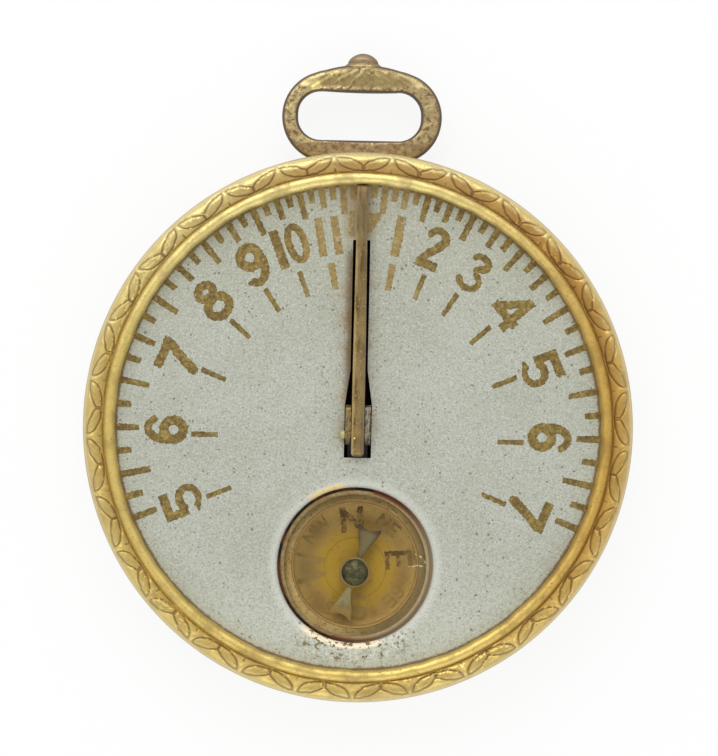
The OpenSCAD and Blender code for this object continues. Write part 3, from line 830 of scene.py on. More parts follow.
def bezel_mesh():
    """The whole ring: its section turned about the axis, with the wreath raised on the band."""
    outer_w, inner_w = case_r - crest_r, crest_r - groove_r
    wall = [(case_r, skirt_z), (case_r, 4.5), (case_r, 5.8)]
    band = arc(crest_r, shoulder_z, outer_w, bezel_z - shoulder_z, 0, 90, 44)
    groove = arc(crest_r, bezel_z - sheet_t, inner_w, sheet_t, 94, 172, 30)
    bead = [*arc(view_r + bead_w, bead_z, bead_w, bead_r, 12, 180, 30), (view_r, dial_top)]
    under = arc(crest_r, shoulder_z, outer_w - sheet_t, bezel_z - shoulder_z - sheet_t, 120, 0, 16)
    spine = np.array([*wall, *band, *groove, *bead, (view_r + sheet_t, dial_top),
                      (view_r + sheet_t, bead_z - 0.4), (groove_r, bead_z - 0.4), *under,
                      (case_r - sheet_t, skirt_z)])
    rows = len(spine)
    columns = motifs * motif_columns
    turn = (np.arange(columns) + 0.5) * 2 * math.pi / columns
    half = np.abs((turn + leaf_span) % (2 * leaf_span) - leaf_span)
    chased = len(wall) + len(band) + len(groove)
    wide = np.broadcast_to(half[:, None] * wreath_r, (columns, chased)).copy()
    radius = np.broadcast_to(spine[:chased, 0], (columns, chased)).copy()
    drift = np.random.default_rng(29)
    pair = ((turn + leaf_span) // (2 * leaf_span)).astype(int) % motifs
    force = drift.uniform(0.85, 1.1, motifs)[pair]
    for k in range(3, 12):
        wide += 0.012 * np.sin(17 * k * turn + drift.uniform(0, full_turn))[:, None]
        radius += 0.006 * np.sin(23 * k * turn + drift.uniform(0, full_turn))[:, None]
    height, dirt = leaf_relief(np.clip(wide, 0, leaf_w), radius)
    height *= force[:, None]
    height[:, :4] = 0
    along = np.gradient(spine[:chased], axis=0)
    normal = np.stack([along[:, 1], -along[:, 0]], 1)
    normal /= np.linalg.norm(normal, axis=1)[:, None]
    section = np.broadcast_to(spine, (columns, rows, 2)).copy()
    section[:, :chased] += normal * height[:, :, None]
    swell = np.sin(np.radians(np.linspace(12, 180, len(bead) - 1) / 2)) ** 2
    swell = np.append(swell, 1.0)
    bead = slice(chased, chased + len(bead))
    wander, lift = np.zeros(columns), np.zeros(columns)
    for k in (5, 9, 14, 23, 31, 47, 66):
        wander += 0.016 * np.sin(k * turn + drift.uniform(0, full_turn))
        lift += 0.008 * np.sin(math.floor(1.4 * k) * turn + drift.uniform(0, full_turn))
    section[:, bead, 0] += wander[:, None] * swell
    section[:, bead, 1] += lift[:, None] * np.minimum(swell, 1 - swell) * 2
    x = section[:, :, 0] * np.sin(turn)[:, None]
    y = section[:, :, 0] * np.cos(turn)[:, None]
    points = np.stack([x, y, section[:, :, 1]], axis=-1).reshape(-1, 3)
    piece = mesh_piece("bezel_wreath", points, wrapped_faces(columns, rows, (3, 2, 1, 0)), 60)
    grime_and_shade = np.zeros((columns, rows))
    grime_and_shade[:, :chased] = dirt
    paint_points(piece, "grime_and_shade", grime_and_shade)
    return piece


def rubbed_and_painted_light(place, tint):
    """Painted light and rubbing: lemon at the top, redder and darker on the right, painted shade across
    the band's middle at the top, a pale outside that is partly rubbed thin and partly painted highlight,
    and painted shade on the outer wall.
    """
    away = distance_to(place, 0, 0)
    # Painted light by side: the gilding keeps its lemon colour only at the top, where the light falls,
    # and turns redder and darker on the right.
    lower = ramp(facing(place, 0, 0, 0), 0.85, 0.1)
    right = ramp(facing(place, 0, 0, 84), 0.2, 1.0)
    tint = mixed(lower, tint, colour(243, 234, 212), "MULTIPLY")
    tint = mixed(right, tint, colour(242, 226, 204), "MULTIPLY")
    uneven = minus(noise(place, 1300, 5, 0.7), 0.5)
    spread = plus(away, times(uneven, 0.0009))
    # Painted shade across the middle of the band at the top and upper right, where its inner slope turns
    # from the light.
    painted_top_shade = times(ramp(facing(place, 0, 0, 22), 0.4, 0.95),
                  times(ramp(spread, 0.02215, 0.0224), ramp(spread, 0.02335, 0.02305)))
    tint = mixed(times(painted_top_shade, 0.85), tint, colour(226, 202, 182), "MULTIPLY")
    # The pale outside, here and on the outer slope below, is partly rubbing and partly painted highlight.
    pale = times(ramp(spread, 0.0230, 0.0235), 0.2)
    tint = mixed(pale, tint, colour(248, 232, 176))
    high = ramp(axes(place)["Z"], (dial_top + 0.15) * MM, (dial_top + 0.55) * MM)
    outer = times(ramp(away, (case_r - 0.42) * MM, (case_r - 0.15) * MM), high)
    tint = stain(tint, outer, 0.62, (222, 208, 166))
    # Painted shade as a thin dark line on the steep outer wall.
    side = times(ramp(away, (case_r - 0.14) * MM, (case_r - 0.03) * MM), high)
    return stain(tint, side, 0.6, (158, 140, 104))


bezel_gilt = metal_finish("bezel gilt", (236, 218, 146), (104, 66, 34), rubbed_and_painted_light, Grime=0.35,
                          Patches=0.42, Specks=0.5, Chased=0.9, Smoothest=0.5, Dullest=0.7, Relief=0.3)
dress(bezel_mesh(), bezel_gilt, "case", "gilt", "bezel")


# Bow
# A struck brass loop soldered to the pan at 12 o'clock, never gilt and now brown. Rays fan
# out below its knob, a row of tiny beads runs along the strap opening, and its faces are rough.

bow_low = box_of("bow")[0].z
bow_high = box_of("bow")[1].z
bow_half = (bow_high - bow_low) / 2
bow_top = box_of("bow")[1].y
bend_y = bow_top - 5.6
bow_x = middle_of("bow", "x")
bow_z = (bow_low + bow_high) / 2
bow_middle = np.array([bow_x, bend_y + 0.1])
bow_edge = 0.42


def pan_radius(height):
    """Outside radius of the pan at a height, up its rounded shoulder and its wall."""
    drop = slope(height, shoulder_h, -shoulder_h)
    return rest_r + shoulder_w * np.sqrt(1 - drop ** 2)


def reach_at(outline, angles):
    """How far an outline lies from the bow's middle in each direction."""
    away = np.asarray(outline) - bow_middle
    turn = np.arctan2(away[:, 1], away[:, 0])
    order = np.argsort(turn)
    return np.interp(angles, turn[order], np.hypot(*away.T)[order], period=2 * math.pi)


def bow_outlines():
    """Outer and inner outlines of the loop as seen from above."""
    side_x, side_r, top_r, corner = 3.05, 4.0, 10.85, 2.0
    outer = [*arc(bow_x + side_x, bend_y, side_r - 0.02, side_r, -90, 72, 60),
             *arc(bow_x, bend_y - 6.25, top_r, top_r, 72.5, 107.5, 60),
             *arc(bow_x - side_x, bend_y, side_r, side_r, 108, 270, 60)]
    flat = np.linspace(-3.3, 3.0, 50)
    left, right, low, high = bow_x - 5.65, bow_x + 5.2, bend_y - 2.08, bend_y + 2.25
    inner = [*arc(right - corner, high - corner, corner, corner, 0, 90, 40),
             *[(x, high - 0.1 * (1 - (x / 3.4) ** 2)) for x in flat[::-1]],
             *arc(left + corner, high - corner, corner, corner, 90, 180, 40),
             *arc(left + corner, low + corner, corner, corner, 180, 270, 40),
             *[(x, low) for x in flat],
             *arc(right - corner, low + corner, corner, corner, 270, 360, 40)]
    return outer, inner


def ray_gap(x, y, points):
    """Distance from a bent ray, and how far along it that is, from 0 to 1."""
    nearest = np.full(x.shape, far_off)
    share = np.zeros(x.shape)
    for k, (start, end) in enumerate(zip(points[:-1], points[1:])):
        t, away = beside(x, y, start, end)
        share = np.where(away < nearest, (k + t) / (len(points) - 1), share)
        nearest = np.minimum(nearest, away)
    return nearest, share


# How high each ray stands, and the points that it runs through, from the bow's bend.
RAYS = [
    (0.17, [(-1.1, 4.2), (-2.7, 3.55), (-4.4, 2.5)]), (0.17, [(-0.5, 4.1), (-1.4, 3.6), (-2.4, 2.9)]),
    (0.14, [(0.0, 4.0), (-0.55, 3.4), (-1.1, 2.65)]), (0.08, [(0.25, 3.75), (0.04, 3.15)]),
    (0.09, [(0.53, 3.65), (1.08, 2.85)]), (0.14, [(0.83, 3.95), (2.2, 3.15)]),
    (0.14, [(1.25, 4.15), (2.9, 3.45), (3.95, 2.75)])]


def bow_relief(x, y):
    """Height of the struck rays and beads above the casting, and how dark the material makes it there:
    grime between the rays and painted shadow on the foot.
    """
    x = x - bow_x
    y = y - bend_y
    height = np.zeros(x.shape)
    dirt = np.zeros(x.shape)
    ridges = np.zeros(x.shape)
    for force, points in RAYS:
        gap, share = ray_gap(x, y, points)
        ridge = hump(gap, 0.19 - 0.11 * share)
        height = np.maximum(height, 1.3 * force * (1 - 0.7 * share) * ridge)
        ridges = np.maximum(ridges, ridge * force / 0.17 * (1 - 0.4 * share))
    fan = slope(y, 2.35, 0.4) * slope(4.35 - y - 0.06 * x ** 2, 0, 0.3)
    fan *= slope(np.abs(x), 4.9, -1.2)
    height -= 0.05 * fan * (1 - ridges)
    dirt = np.maximum(dirt, 0.42 * fan * (1 - ridges))
    beads, first_x, step, row_y = 16, -3.6, 0.47, 2.38
    for k in range(beads):
        bead_x = first_x + step * k + 0.1 * math.sin(5 * k)
        bead_y = row_y - 0.06 * math.cos(0.4 * (k - (beads - 1) / 2))
        grow = 0.012 + 0.01 * abs(math.sin(2.3 * k))
        height += 0.07 * np.exp(-((x - bead_x) ** 2 + (y - bead_y) ** 2) / grow)
    # Painted shadow on the foot, where it runs in under the bezel.
    foot_shadow = slope(y, -1.9, -0.5)
    dirt = np.maximum(dirt, 0.5 * foot_shadow)
    dents = np.random.default_rng(3)
    for reach, force in ((1.7, 0.006), (0.8, 0.003), (0.4, 0.0012)):
        for turn, shift in dents.uniform(0, full_turn, (5, 2)):
            along = x * math.cos(turn) + y * math.sin(turn)
            height += force * np.sin(along * full_turn / reach + shift)
    return height, dirt


def bow_loop():
    """The loop: a flat section with rounded edges swept between its two outlines."""
    outer, inner = bow_outlines()
    turn = np.linspace(-math.pi, math.pi, 4000, endpoint=False)
    line = bow_middle + (reach_at(outer, turn) + reach_at(inner, turn))[:, None] / 2 * np.stack(
        [np.cos(turn), np.sin(turn)], 1)
    steps = np.hypot(*np.diff(line, axis=0, append=line[:1]).T)
    walked = np.concatenate([[0], np.cumsum(steps)])
    stations = 560
    turn = np.interp(np.arange(stations) / stations * walked[-1], walked, [*turn, math.pi])
    rays = np.stack([np.cos(turn), np.sin(turn)], 1)
    a = bow_middle + reach_at(outer, turn)[:, None] * rays
    b = bow_middle + reach_at(inner, turn)[:, None] * rays
    width = np.hypot(*(b - a).T)
    quarter = np.radians(np.linspace(0, 90, 9))
    flat = np.linspace(0, 1, 32)[1:-1]
    edge = np.minimum(bow_edge, 0.4 * width)[:, None] / width[:, None]
    rise = np.concatenate([np.sin(quarter), np.ones(len(flat)), np.sin(quarter)[::-1]])
    share = np.concatenate([edge * (1 - np.cos(quarter)), edge + (1 - 2 * edge) * flat,
                            1 - edge * (1 - np.cos(quarter[::-1]))], axis=1)
    place = a[:, None] + (b - a)[:, None] * share[:, :, None]
    crown = 0.05 * (1 - (2 * share - 1) ** 2)
    level = bow_half - bow_edge * (1 - rise) + crown
    relief, dirt = bow_relief(place[..., 0], place[..., 1])
    # Painted shade on the rounded edges: the further the edge turns down, the darker the material makes
    # it.
    dirt = np.maximum(dirt, np.minimum(2.3 * (1 - rise) ** 0.7, 1.0))
    top = bow_z + level + relief * rise
    low = bow_z - level + crown
    upper = np.concatenate([place, top[:, :, None]], axis=2)
    lower = np.concatenate([place, low[:, :, None]], axis=2)[:, ::-1]
    points = np.concatenate([upper, lower], axis=1)
    dirt = np.concatenate([dirt, dirt[:, ::-1]], axis=1)
    rows = points.shape[1]
    points = points.reshape(-1, 3)
    points[:, 2] = np.minimum(points[:, 2], bow_high + 0.12)
    away = np.hypot(points[:, 0], points[:, 1])
    grow = np.maximum(pan_radius(points[:, 2]) + 0.02, away) / away
    points[:, :2] *= grow[:, None]
    return points, wrapped_faces(stations, rows, (0, 3, 2, 1)), dirt.ravel()


def bow_knob():
    """The knob: a ball on a flared collar, flattened like the loop that it stands on."""
    ys = bow_top + np.array([-1.65, -1.4, -1.2, -1.12, -1.05, -0.96, -0.9, -0.84, -0.7, -0.55, -0.4,
                             -0.27, -0.15, -0.06, 0.0, 0.03])
    wide = np.array([1.82, 1.78, 1.7, 1.64, 1.55, 1.45, 1.36, 1.34, 1.3, 1.21, 1.07, 0.91,
                     0.71, 0.5, 0.28, 0.02])
    thick = np.array([0.78, 0.86, 0.9, 0.9, 0.88, 0.82, 0.76, 0.78, 0.82, 0.82, 0.77, 0.68,
                      0.55, 0.4, 0.23, 0.02])
    fine = np.linspace(ys[0], ys[-1], 60)
    count = 64
    turn = np.arange(count) * 2 * math.pi / count
    points = []
    for y in fine:
        w, t = np.interp(y, ys, wide), np.interp(y, ys, thick)
        for angle in turn:
            c, s = math.cos(angle), math.sin(angle)
            x = w * math.copysign(abs(c) ** 0.8, c)
            z = bow_z + t * math.copysign(abs(s) ** 0.8, s)
            points.append((x + bow_x, y, z))
    last = (len(fine) - 1) * count
    faces = [[*range(count)], *wrapped_faces(len(fine), count, closed=False),
             [*range(last, last + count)][::-1]]
    return points, faces


loop_points, loop_faces, loop_grime_and_shade = bow_loop()
knob_points, knob_faces = bow_knob()
# Painted shade on the knob: dark on its sides and underside, lighter towards its top.
knob_shade = [0.95 - 0.85 * max(z - bow_z, 0) for _, _, z in knob_points]
start = len(loop_points)
bow = mesh_piece("bow_loop", [*loop_points.tolist(), *knob_points],
                 [*loop_faces, *[[start + k for k in face] for face in knob_faces]], 60)
paint_points(bow, "grime_and_shade", [*loop_grime_and_shade, *knob_shade])


def bow_tint(place, tint):
    """Brown freckles and pinkish blotches over the brass, painted shade on the right, on the foot and as
    a dark line round its edges, and painted highlights on the rays and the upper left of the crown.
    """
    freckles = noise(place, 2300, 4, 0.7)
    blotches = noise(place, 640, 5, 0.65)
    edge = painted(place, "grime_and_shade")
    tint = stain(tint, ramp(blotches, 0.48, 0.64), 0.5, (176, 132, 100))
    tint = stain(tint, ramp(blotches, 0.42, 0.32), 0.6, (226, 208, 144))
    tint = stain(tint, ramp(freckles, 0.51, 0.6), 0.8, (108, 86, 64))
    tint = stain(tint, ramp(freckles, 0.43, 0.36), 0.6, (232, 218, 164))
    axis = axes(place)
    # Painted shade on the right side.
    painted_east_side = ramp(axis["X"], 0.0, 0.006)
    tint = stain(tint, painted_east_side, 0.3, (140, 114, 88))
    height = axis["Y"]
    fan = times(ramp(height, (bend_y + 2.2) * MM, (bend_y + 2.9) * MM), ramp(edge, 0.08, 0.36))
    tint = stain(tint, fan, 0.72, (156, 138, 88))
    # Painted highlight on the rays' ridges and the crown above them.
    rays = times(ramp(height, (bend_y + 2.5) * MM, (bend_y + 2.8) * MM), ramp(edge, 0.12, 0.02))
    tint = stain(tint, rays, 0.55, (240, 224, 164))
    # Painted highlight on the upper left shoulder of the crown.
    worn = distance_to(place, bow_x - 4.2, bend_y + 2.75)
    worn = ramp(plus(worn, times(blotches, 0.0012)), 0.0014, 0.0009)
    tint = stain(tint, worn, 0.8, (236, 222, 150))
    knob = times(ramp(height, (bow_top - 1.2) * MM, (bow_top - 0.9) * MM), 0.55)
    tint = mixed(knob, tint, colour(150, 126, 108))
    # Painted shadow on the foot, by the bezel.
    foot_shadow = ramp(height, (bend_y - 1.9) * MM, (bend_y - 2.6) * MM)
    tint = stain(tint, foot_shadow, 0.3, (146, 108, 70))
    # Painted shade: a dark line round the rounded edges, with the knob's sides and the foot darkened too.
    return mixed(ramp(edge, 0.36, 0.9), tint, colour(104, 91, 80))


bow_brass = metal_finish("bow brass", (212, 192, 138), (104, 84, 72), bow_tint, Grime=0.7, Patches=0.4,
                         Specks=0.8, Chased=0.9, Smoothest=0.42, Dullest=0.66, Relief=0.9)
dress(bow, bow_brass, "case", "bow_brass", "bow")


# Hinge bracket, pin and rivets
# A bracket bent up from brass sheet is riveted flush under the dial. Its two ears stand in
# the slot's wide end and carry the pin, which has a round bead on the left only.


def ear_tint(place, tint):
    """Golden on the left ear, grey on the right one, with painted shade darkening them towards the heel
    and under the dial.
    """
    axis = axes(place)
    blotch = noise(place, 3600, 4, 0.7)
    right = ramp(axis["X"], -0.1 * MM, 0.1 * MM)
    worn = mixed(right, colour(160, 138, 90), colour(164, 158, 140))
    streak = noise(vector("MULTIPLY", place, (1, 0.3, 1))[0], 5200, 4, 0.7)
    tint = mixed(ramp(blotch, 0.45, 0.62), worn, tint)
    tint = stain(tint, ramp(streak, 0.48, 0.6), 0.8, (72, 60, 48))
    # Painted shade towards the heel, where the ears go down into the slot.
    heel = ramp(axis["Y"], (pin_y + 0.3) * MM, (pin_y - 1.0) * MM)
    tint = stain(tint, heel, 0.75, (52, 44, 40))
    # Painted shade below the dial's face.
    below = ramp(axis["Z"], (dial_top - 0.25) * MM, (dial_top - 0.5) * MM)
    return mixed(below, tint, colour(38, 30, 24))


hinge_brass = metal_finish("hinge brass", (140, 122, 96), (84, 68, 52), ear_tint, Grime=0.8,
                           Patches=0.6, Specks=0.6, Smoothest=0.55, Dullest=0.75, Relief=0.5)
for name, node, bevel, steps in (("hinge_ears", "hinge_bracket", 0.09, 3),
                                 ("flush_rivets", "bracket_rivets", 0.03, 2),
                                 ("spring_rivet_head", "spring_rivet", 0.03, 2)):
    dress(copied_piece(name, node, bevel, steps), hinge_brass, "case", "hinge_brass", node)

pin_low, pin_high = box_of("hinge_pin")
pin_z = middle_of("hinge_pin", "z")
pin_left, pin_right = pin_low.x, pin_high.x
pin_head = (pin_high.z - pin_low.z) / 2
pin_r = 0.3
bead_t = 0.55
pin = turned_piece("pin_with_head",
                   [(hub_r, pin_left),
                    *arc(0, pin_left + bead_t - 0.1, pin_head, bead_t - 0.1, -88, 0, 14),
                    (pin_head - 0.05, pin_left + bead_t), (pin_r, pin_left + bead_t),
                    (pin_r, pin_right - 0.05), (pin_r - 0.05, pin_right), (hub_r, pin_right)], steps=64)
pin.data.transform(Matrix.Rotation(math.pi / 2, 4, "Y"))
pin.data.transform(Matrix.Translation((0, pin_y * MM, pin_z * MM)))
pin_brass = metal_finish("pin brass", (200, 196, 144), (150, 138, 96), Grime=0.5, Patches=0.5,
                         Specks=0.5, Smoothest=0.62, Dullest=0.75, Relief=0.6)
dress(pin, pin_brass, "case", "hinge_brass", "hinge_pin")


# Leaf spring
# A strip of blued spring steel riveted under the bracket, whose free end presses on the
# blade's heel. It has gone dull and grey in the closed case.

spring_steel = metal_finish("spring steel", (74, 74, 76), (48, 42, 38), Grime=0.6, Patches=0.5,
                            Specks=0.4, Smoothest=0.4, Dullest=0.6, Relief=0.2)
spring = copied_piece("leaf_spring", "gnomon_spring", 0.03)
dress(spring, spring_steel, "case", "spring_steel", "gnomon_spring")


# Gnomon blade
# Sawn from thick brass and filed. It folds down into the slot and stands up on its heel,
# with its straight edge parallel to the earth's axis. Rubbing has bared its left edge, which
# a painted highlight brightens further.

blade_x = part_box("gnomon_blade")[1].x


def blade_brass():
    """Browned brass with a pale strip down the left edge, partly rubbed and partly painted highlight,
    dark streaks along it, painted shade down the right edge, and a painted highlight and glint by the
    heel.
    """
    material, place = new_material("blade brass")
    axis = axes(place)
    streak = noise(vector("MULTIPLY", place, (1.0, 0.16, 0.16))[0], 1900, 5, 0.65)
    cloud = noise(place, 330, 5, 0.6)
    fine = noise(place, 5000, 3, 0.6)
    side = plus(axis["X"], times(minus(streak, 0.5), 0.0006))
    # The pale left strip is partly rubbed and partly painted highlight.
    rubbed = ramp(side, -0.45 * blade_x, -0.8 * blade_x)
    tint = mixed(ramp(cloud, 0.35, 0.65), colour(150, 129, 83), colour(126, 107, 68))
    tint = stain(tint, ramp(streak, 0.48, 0.62), 0.8, (108, 84, 50))
    tint = stain(tint, rubbed, 0.6, (192, 167, 114))
    flecks = ramp(fine, 0.6, 0.68)
    tint = stain(tint, flecks, 0.5, (214, 192, 148))
    # Painted shade down the right edge, where the blade's side turns away.
    tint = stain(tint, ramp(side, 0.35 * blade_x, 0.9 * blade_x), 0.55, (126, 112, 96))
    # Painted golden highlight on the knuckle by the heel.
    heel = distance_to(place, -0.2, pin_y + 0.25)
    heel = ramp(plus(heel, times(fine, 0.0008)), 0.0012, 0.0005)
    tint = stain(tint, heel, 0.45, (186, 152, 94))
    # Painted glint.
    glint = ramp(distance_to(place, -0.29, pin_y - 0.3), 0.00012, 0.00004)
    tint = mixed(glint, tint, colour(240, 216, 184))
    tip = ramp(axis["Y"], 0.014, 0.0185)
    tint = stain(tint, tip, 0.4, (126, 108, 82))
    bump = fed("ShaderNodeBump", {"Strength": 0.3, "Distance": 0.00003, "Height": plus(fine, streak)})
    return shaded(material,
                  {"Base Color": tint, "Metallic": 0.8, "Roughness": ramp(streak, -0.4, 1.2),
                   "Normal": bump.outputs["Normal"]})


blade = copied_piece("folding_blade", "gnomon_blade", 0.11, 4)
blade_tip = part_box("gnomon_blade")[1].y
tip_reach, tip_grow = 0.3, 0.12
for point in blade.data.vertices:
    if point.co.y > blade_tip - tip_reach * MM:
        point.co.y += tip_grow * MM
dress(blade, blade_brass(), "gnomon", "blade_brass", "gnomon_blade")


# Compass bowl
# A cup drawn from brass with a flange soldered under the dial. Its rim is rolled in over the
# crystal, and rust from the steel inside has stained it brown.

bowl_low, bowl_high = box_of("compass_bowl")
bowl_r = 6.55
bowl_t = 0.2
lip_w = 0.35
rim_z = bowl_high.z
bowl_z = bowl_low.z
flange_z = 5.48
flange_low = 5.2
flange_r = bowl_r + 0.85
floor_r = 0.8
compass = (0.0, hole_y)


def bowl_finish(name, bare, stained, metallic, dull_within=0.0):
    """Brown, dull brass, with nearly black painted shade in the gap round the rim, reddish with rust in
    places, dribbles of rust, and a painted tone on the east side.
    """
    material, place = new_material(name)
    away = distance_to(place, 0, hole_y)
    height = axes(place)["Z"]
    cloud = noise(place, 700, 5, 0.65)
    fine = noise(place, 4200, 4, 0.7)
    tint = mixed(ramp(cloud, 0.36, 0.62), colour(*bare), colour(*stained))
    tint = stain(tint, ramp(fine, 0.52, 0.66), 0.6, (104, 78, 48))
    tint = stain(tint, ramp(fine, 0.46, 0.36), 0.3, (190, 170, 124))
    # Painted shade in the gap round the rim: nearly black, and reddish with rust in places.
    rim_gap_shade = times(ramp(away, (bowl_r - 0.05) * MM, (bowl_r + 0.03) * MM),
                   ramp(height, (flange_z + 0.12) * MM, (flange_z + 0.02) * MM))
    reddish = ramp(cloud, 0.45, 0.6)
    gap_shade_tone = mixed(reddish, colour(26, 18, 14), colour(96, 50, 28))
    tint = mixed(rim_gap_shade, tint, gap_shade_tone)
    uneven = times(minus(cloud, 0.5), 0.5)
    rusty = larger(ramp(facing(place, 0, hole_y, 158), 0.72, 0.82),
                   ramp(facing(place, 0, hole_y, 40), 0.86, 0.92))
    rusty = times(ramp(plus(rusty, uneven), 0.4, 0.8),
                  ramp(away, (bowl_r - 0.22) * MM, (bowl_r - 0.12) * MM))
    tint = stain(tint, rusty, 0.8, (112, 62, 30))
    # Painted light and shade by side: the east side is pulled to one tone, which darkens the bright ring
    # where the lamps light it most.
    painted_east_side = ramp(facing(place, 0, hole_y, 115), 0.1, 0.9)
    tint = stain(tint, painted_east_side, 0.6, (176, 160, 128))
    inner = ramp(away, (dull_within + 0.02) * MM, (dull_within - 0.02) * MM)
    tint = mixed(inner, tint, colour(156, 130, 84))
    return shaded(material,
                  {"Base Color": tint, "Metallic": times(minus(1.0, rim_gap_shade), metallic),
                   "Roughness": ramp(fine, -0.8, 1.4), "Specular IOR Level": 0.3})


bowl_brass = bowl_finish("bowl brass", (156, 136, 94), (134, 112, 72), 0.4)
bowl = turned_piece("compass_cup",
                    [(hub_r, bowl_z),
                     *arc(bowl_r - floor_r, bowl_z + floor_r, floor_r, floor_r, -90, 0, 10),
                     (bowl_r, 5.1), (bowl_r + 0.1, 5.18), (flange_r, flange_low),
                     (flange_r, flange_z), (bowl_r + 0.03, flange_z), (bowl_r, flange_z + 0.05),
                     *arc(bowl_r - bowl_t, rim_z - bowl_t, bowl_t, bowl_t, 0, 90, 10),
                     *arc(bowl_r - lip_w + 0.05, rim_z - 0.07, 0.05, 0.07, 90, 180, 5),
                     (bowl_r - lip_w, rim_z - bowl_t + 0.02), (bowl_r - bowl_t, rim_z - bowl_t + 0.02),
                     *arc(bowl_r - floor_r, bowl_z + floor_r, 0.6, 0.6, 0, -90, 8),
                     (hub_r, bowl_z + bowl_t)], compass)
dress(bowl, bowl_brass, "case", "bowl_brass", "compass_bowl")

ring_low, ring_high = box_of("glass_ring")
ring_r = ring_high.x
ring_z = ring_low.z
ring_top = ring_high.z
ring_in = ring_r - 0.95
# Painted light: the ring is given a near-white brass, so that it stays bright in the shadow of the rim.
ring_brass = bowl_finish("ring brass", (255, 246, 216), (244, 226, 188), 0.0, ring_in + 0.2)
ring = turned_piece("glass_rest",
                    [(ring_in, ring_z + 0.1), (ring_in + 0.1, ring_z), (ring_r - 0.5, ring_z),
                     *arc(ring_r - 0.5, ring_z + 0.5, 0.5, 0.5, -90, 0, 8),
                     (ring_r, ring_top), (ring_in + 0.15, ring_top),
                     *arc(ring_in + 0.15, ring_top - 0.15, 0.15, 0.15, 90, 180, 5)], compass)
dress(ring, ring_brass, "case", "bowl_brass", "glass_ring")
post = copied_piece("needle_post", "pivot_post", 0.02)
dress(post, bowl_brass, "case", "bowl_brass", "pivot_post")


# Compass card
# Varnished paper, printed in dark brown with the points of the compass. It has turned amber
# under the crystal, and most of the letters on its southern side have faded.

card_low, card_high = box_of("compass_card")
card_r = card_high.x
card_z = card_high.z
card_floor = card_low.z
card_hole = 0.33
post_y = middle_of("pivot_post", "y")

# Where each smudge lies from the compass's middle, how far it reaches, and its colour.
SMUDGES = [(-4.1, -0.5, 1.1, (112, 112, 84)), (2.8, 3.5, 1.1, (106, 96, 72)),
           (-3.4, 3.0, 1.0, (100, 88, 62)), (-3.2, -3.8, 1.0, (120, 98, 62)),
           (5.2, 0.8, 0.8, (120, 104, 74))]


def card_paper():
    """Amber varnish over paper, clearest round the pivot, with brown smudges, a printed ring, and painted
    light on its outer part.
    """
    material, place = new_material("card paper")
    cloud = noise(place, 420, 5, 0.6)
    fine = noise(place, 2600, 4, 0.65)
    middle = distance_to(place, 0, post_y + 0.3)
    blur = plus(middle, times(cloud, 0.0012))
    tint = mixed(ramp(cloud, 0.35, 0.65), colour(164, 140, 90), colour(150, 124, 72))
    # Painted light on the card's outer part, lifting it out of the ring's shadow.
    tint = mixed(ramp(middle, 0.0042, 0.0054), tint, colour(196, 170, 112))
    tint = mixed(ramp(blur, 0.0048, 0.0034), tint, colour(168, 140, 50))
    tint = stain(tint, ramp(fine, 0.5, 0.72), 0.4, (122, 98, 56))
    for x, y, reach, smudge in SMUDGES:
        away = plus(distance_to(place, x, hole_y + y), times(fine, 0.0012))
        tint = stain(tint, ramp(away, (reach + 0.9) * MM, 0.5 * MM), 0.6, smudge)
    across = maths("ABSOLUTE", minus(middle, 0.0027))
    ring = ramp(across, 0.00009, 0.00003)
    tint = stain(tint, ring, 0.35, (110, 84, 44))
    return shaded(material,
                  {"Base Color": tint, "Roughness": ramp(fine, -0.8, 2.0), "Specular IOR Level": 0.3})


card = turned_piece("card_disc",
                    [(card_hole, card_floor), (card_r - 0.03, card_floor),
                     (card_r, card_floor + 0.03), (card_r, card_z - 0.04), (card_r - 0.04, card_z),
                     (card_hole, card_z)], compass)
dress(card, card_paper(), "case", "card_print", "compass_card")

LETTERS = {
    "N": [block(-1.0, -0.5, -1.1, 1.15), block(0.55, 1.05, -1.0, 1.15),
          segment([(-0.75, 0.95), (0.75, -0.75)], [0.2, 0.26])],
    "E": [block(-0.85, -0.4, -1.2, 1.2), block(-0.85, 0.75, 0.8, 1.2), block(-0.7, 0.6, -0.2, 0.2),
          block(-0.85, 0.75, -1.2, -0.8)],
    "S": [segment(arc(0.0, 0.55, 0.6, 0.48, 20, 270, 12), [0.16, 0.24]),
          segment(arc(0.0, -0.5, 0.66, 0.55, 90, -160, 12), [0.24, 0.16])],
    "W": [segment([(-1.2, 1.1), (-0.65, -1.0)], [0.24]), segment([(-0.65, -1.0), (0, 0.7)], [0.14]),
          segment([(0, 0.7), (0.6, -1.0)], [0.24]), segment([(0.6, -1.0), (1.2, 1.1)], [0.14])],
}
# Half of the room that each letter takes up.
SPACING = {"N": 1.3, "E": 1.05, "S": 0.95, "W": 1.45}


def card_word(word, size):
    """Distance field of one or two capitals side by side at a size."""
    parts, x = [], -sum(SPACING[letter] for letter in word)
    for letter in word:
        parts.append((-x - SPACING[letter], 0, LETTERS[letter]))
        x += 2 * SPACING[letter]
    return shapes(parts, size)


films = []
for count, word in enumerate(("N", "NE", "E", "SE", "S", "SW", "W", "NW")):
    turn = math.radians(45 * count - 5.5)
    size, away = (1.0, 3.85) if len(word) == 1 else (0.52, 4.45)
    where = turned_place(away * math.sin(turn), hole_y + away * math.cos(turn), turn)
    films.append(film(card_word(word, size), 1.6, 1.5, where, 0.04, 0.05 * size))


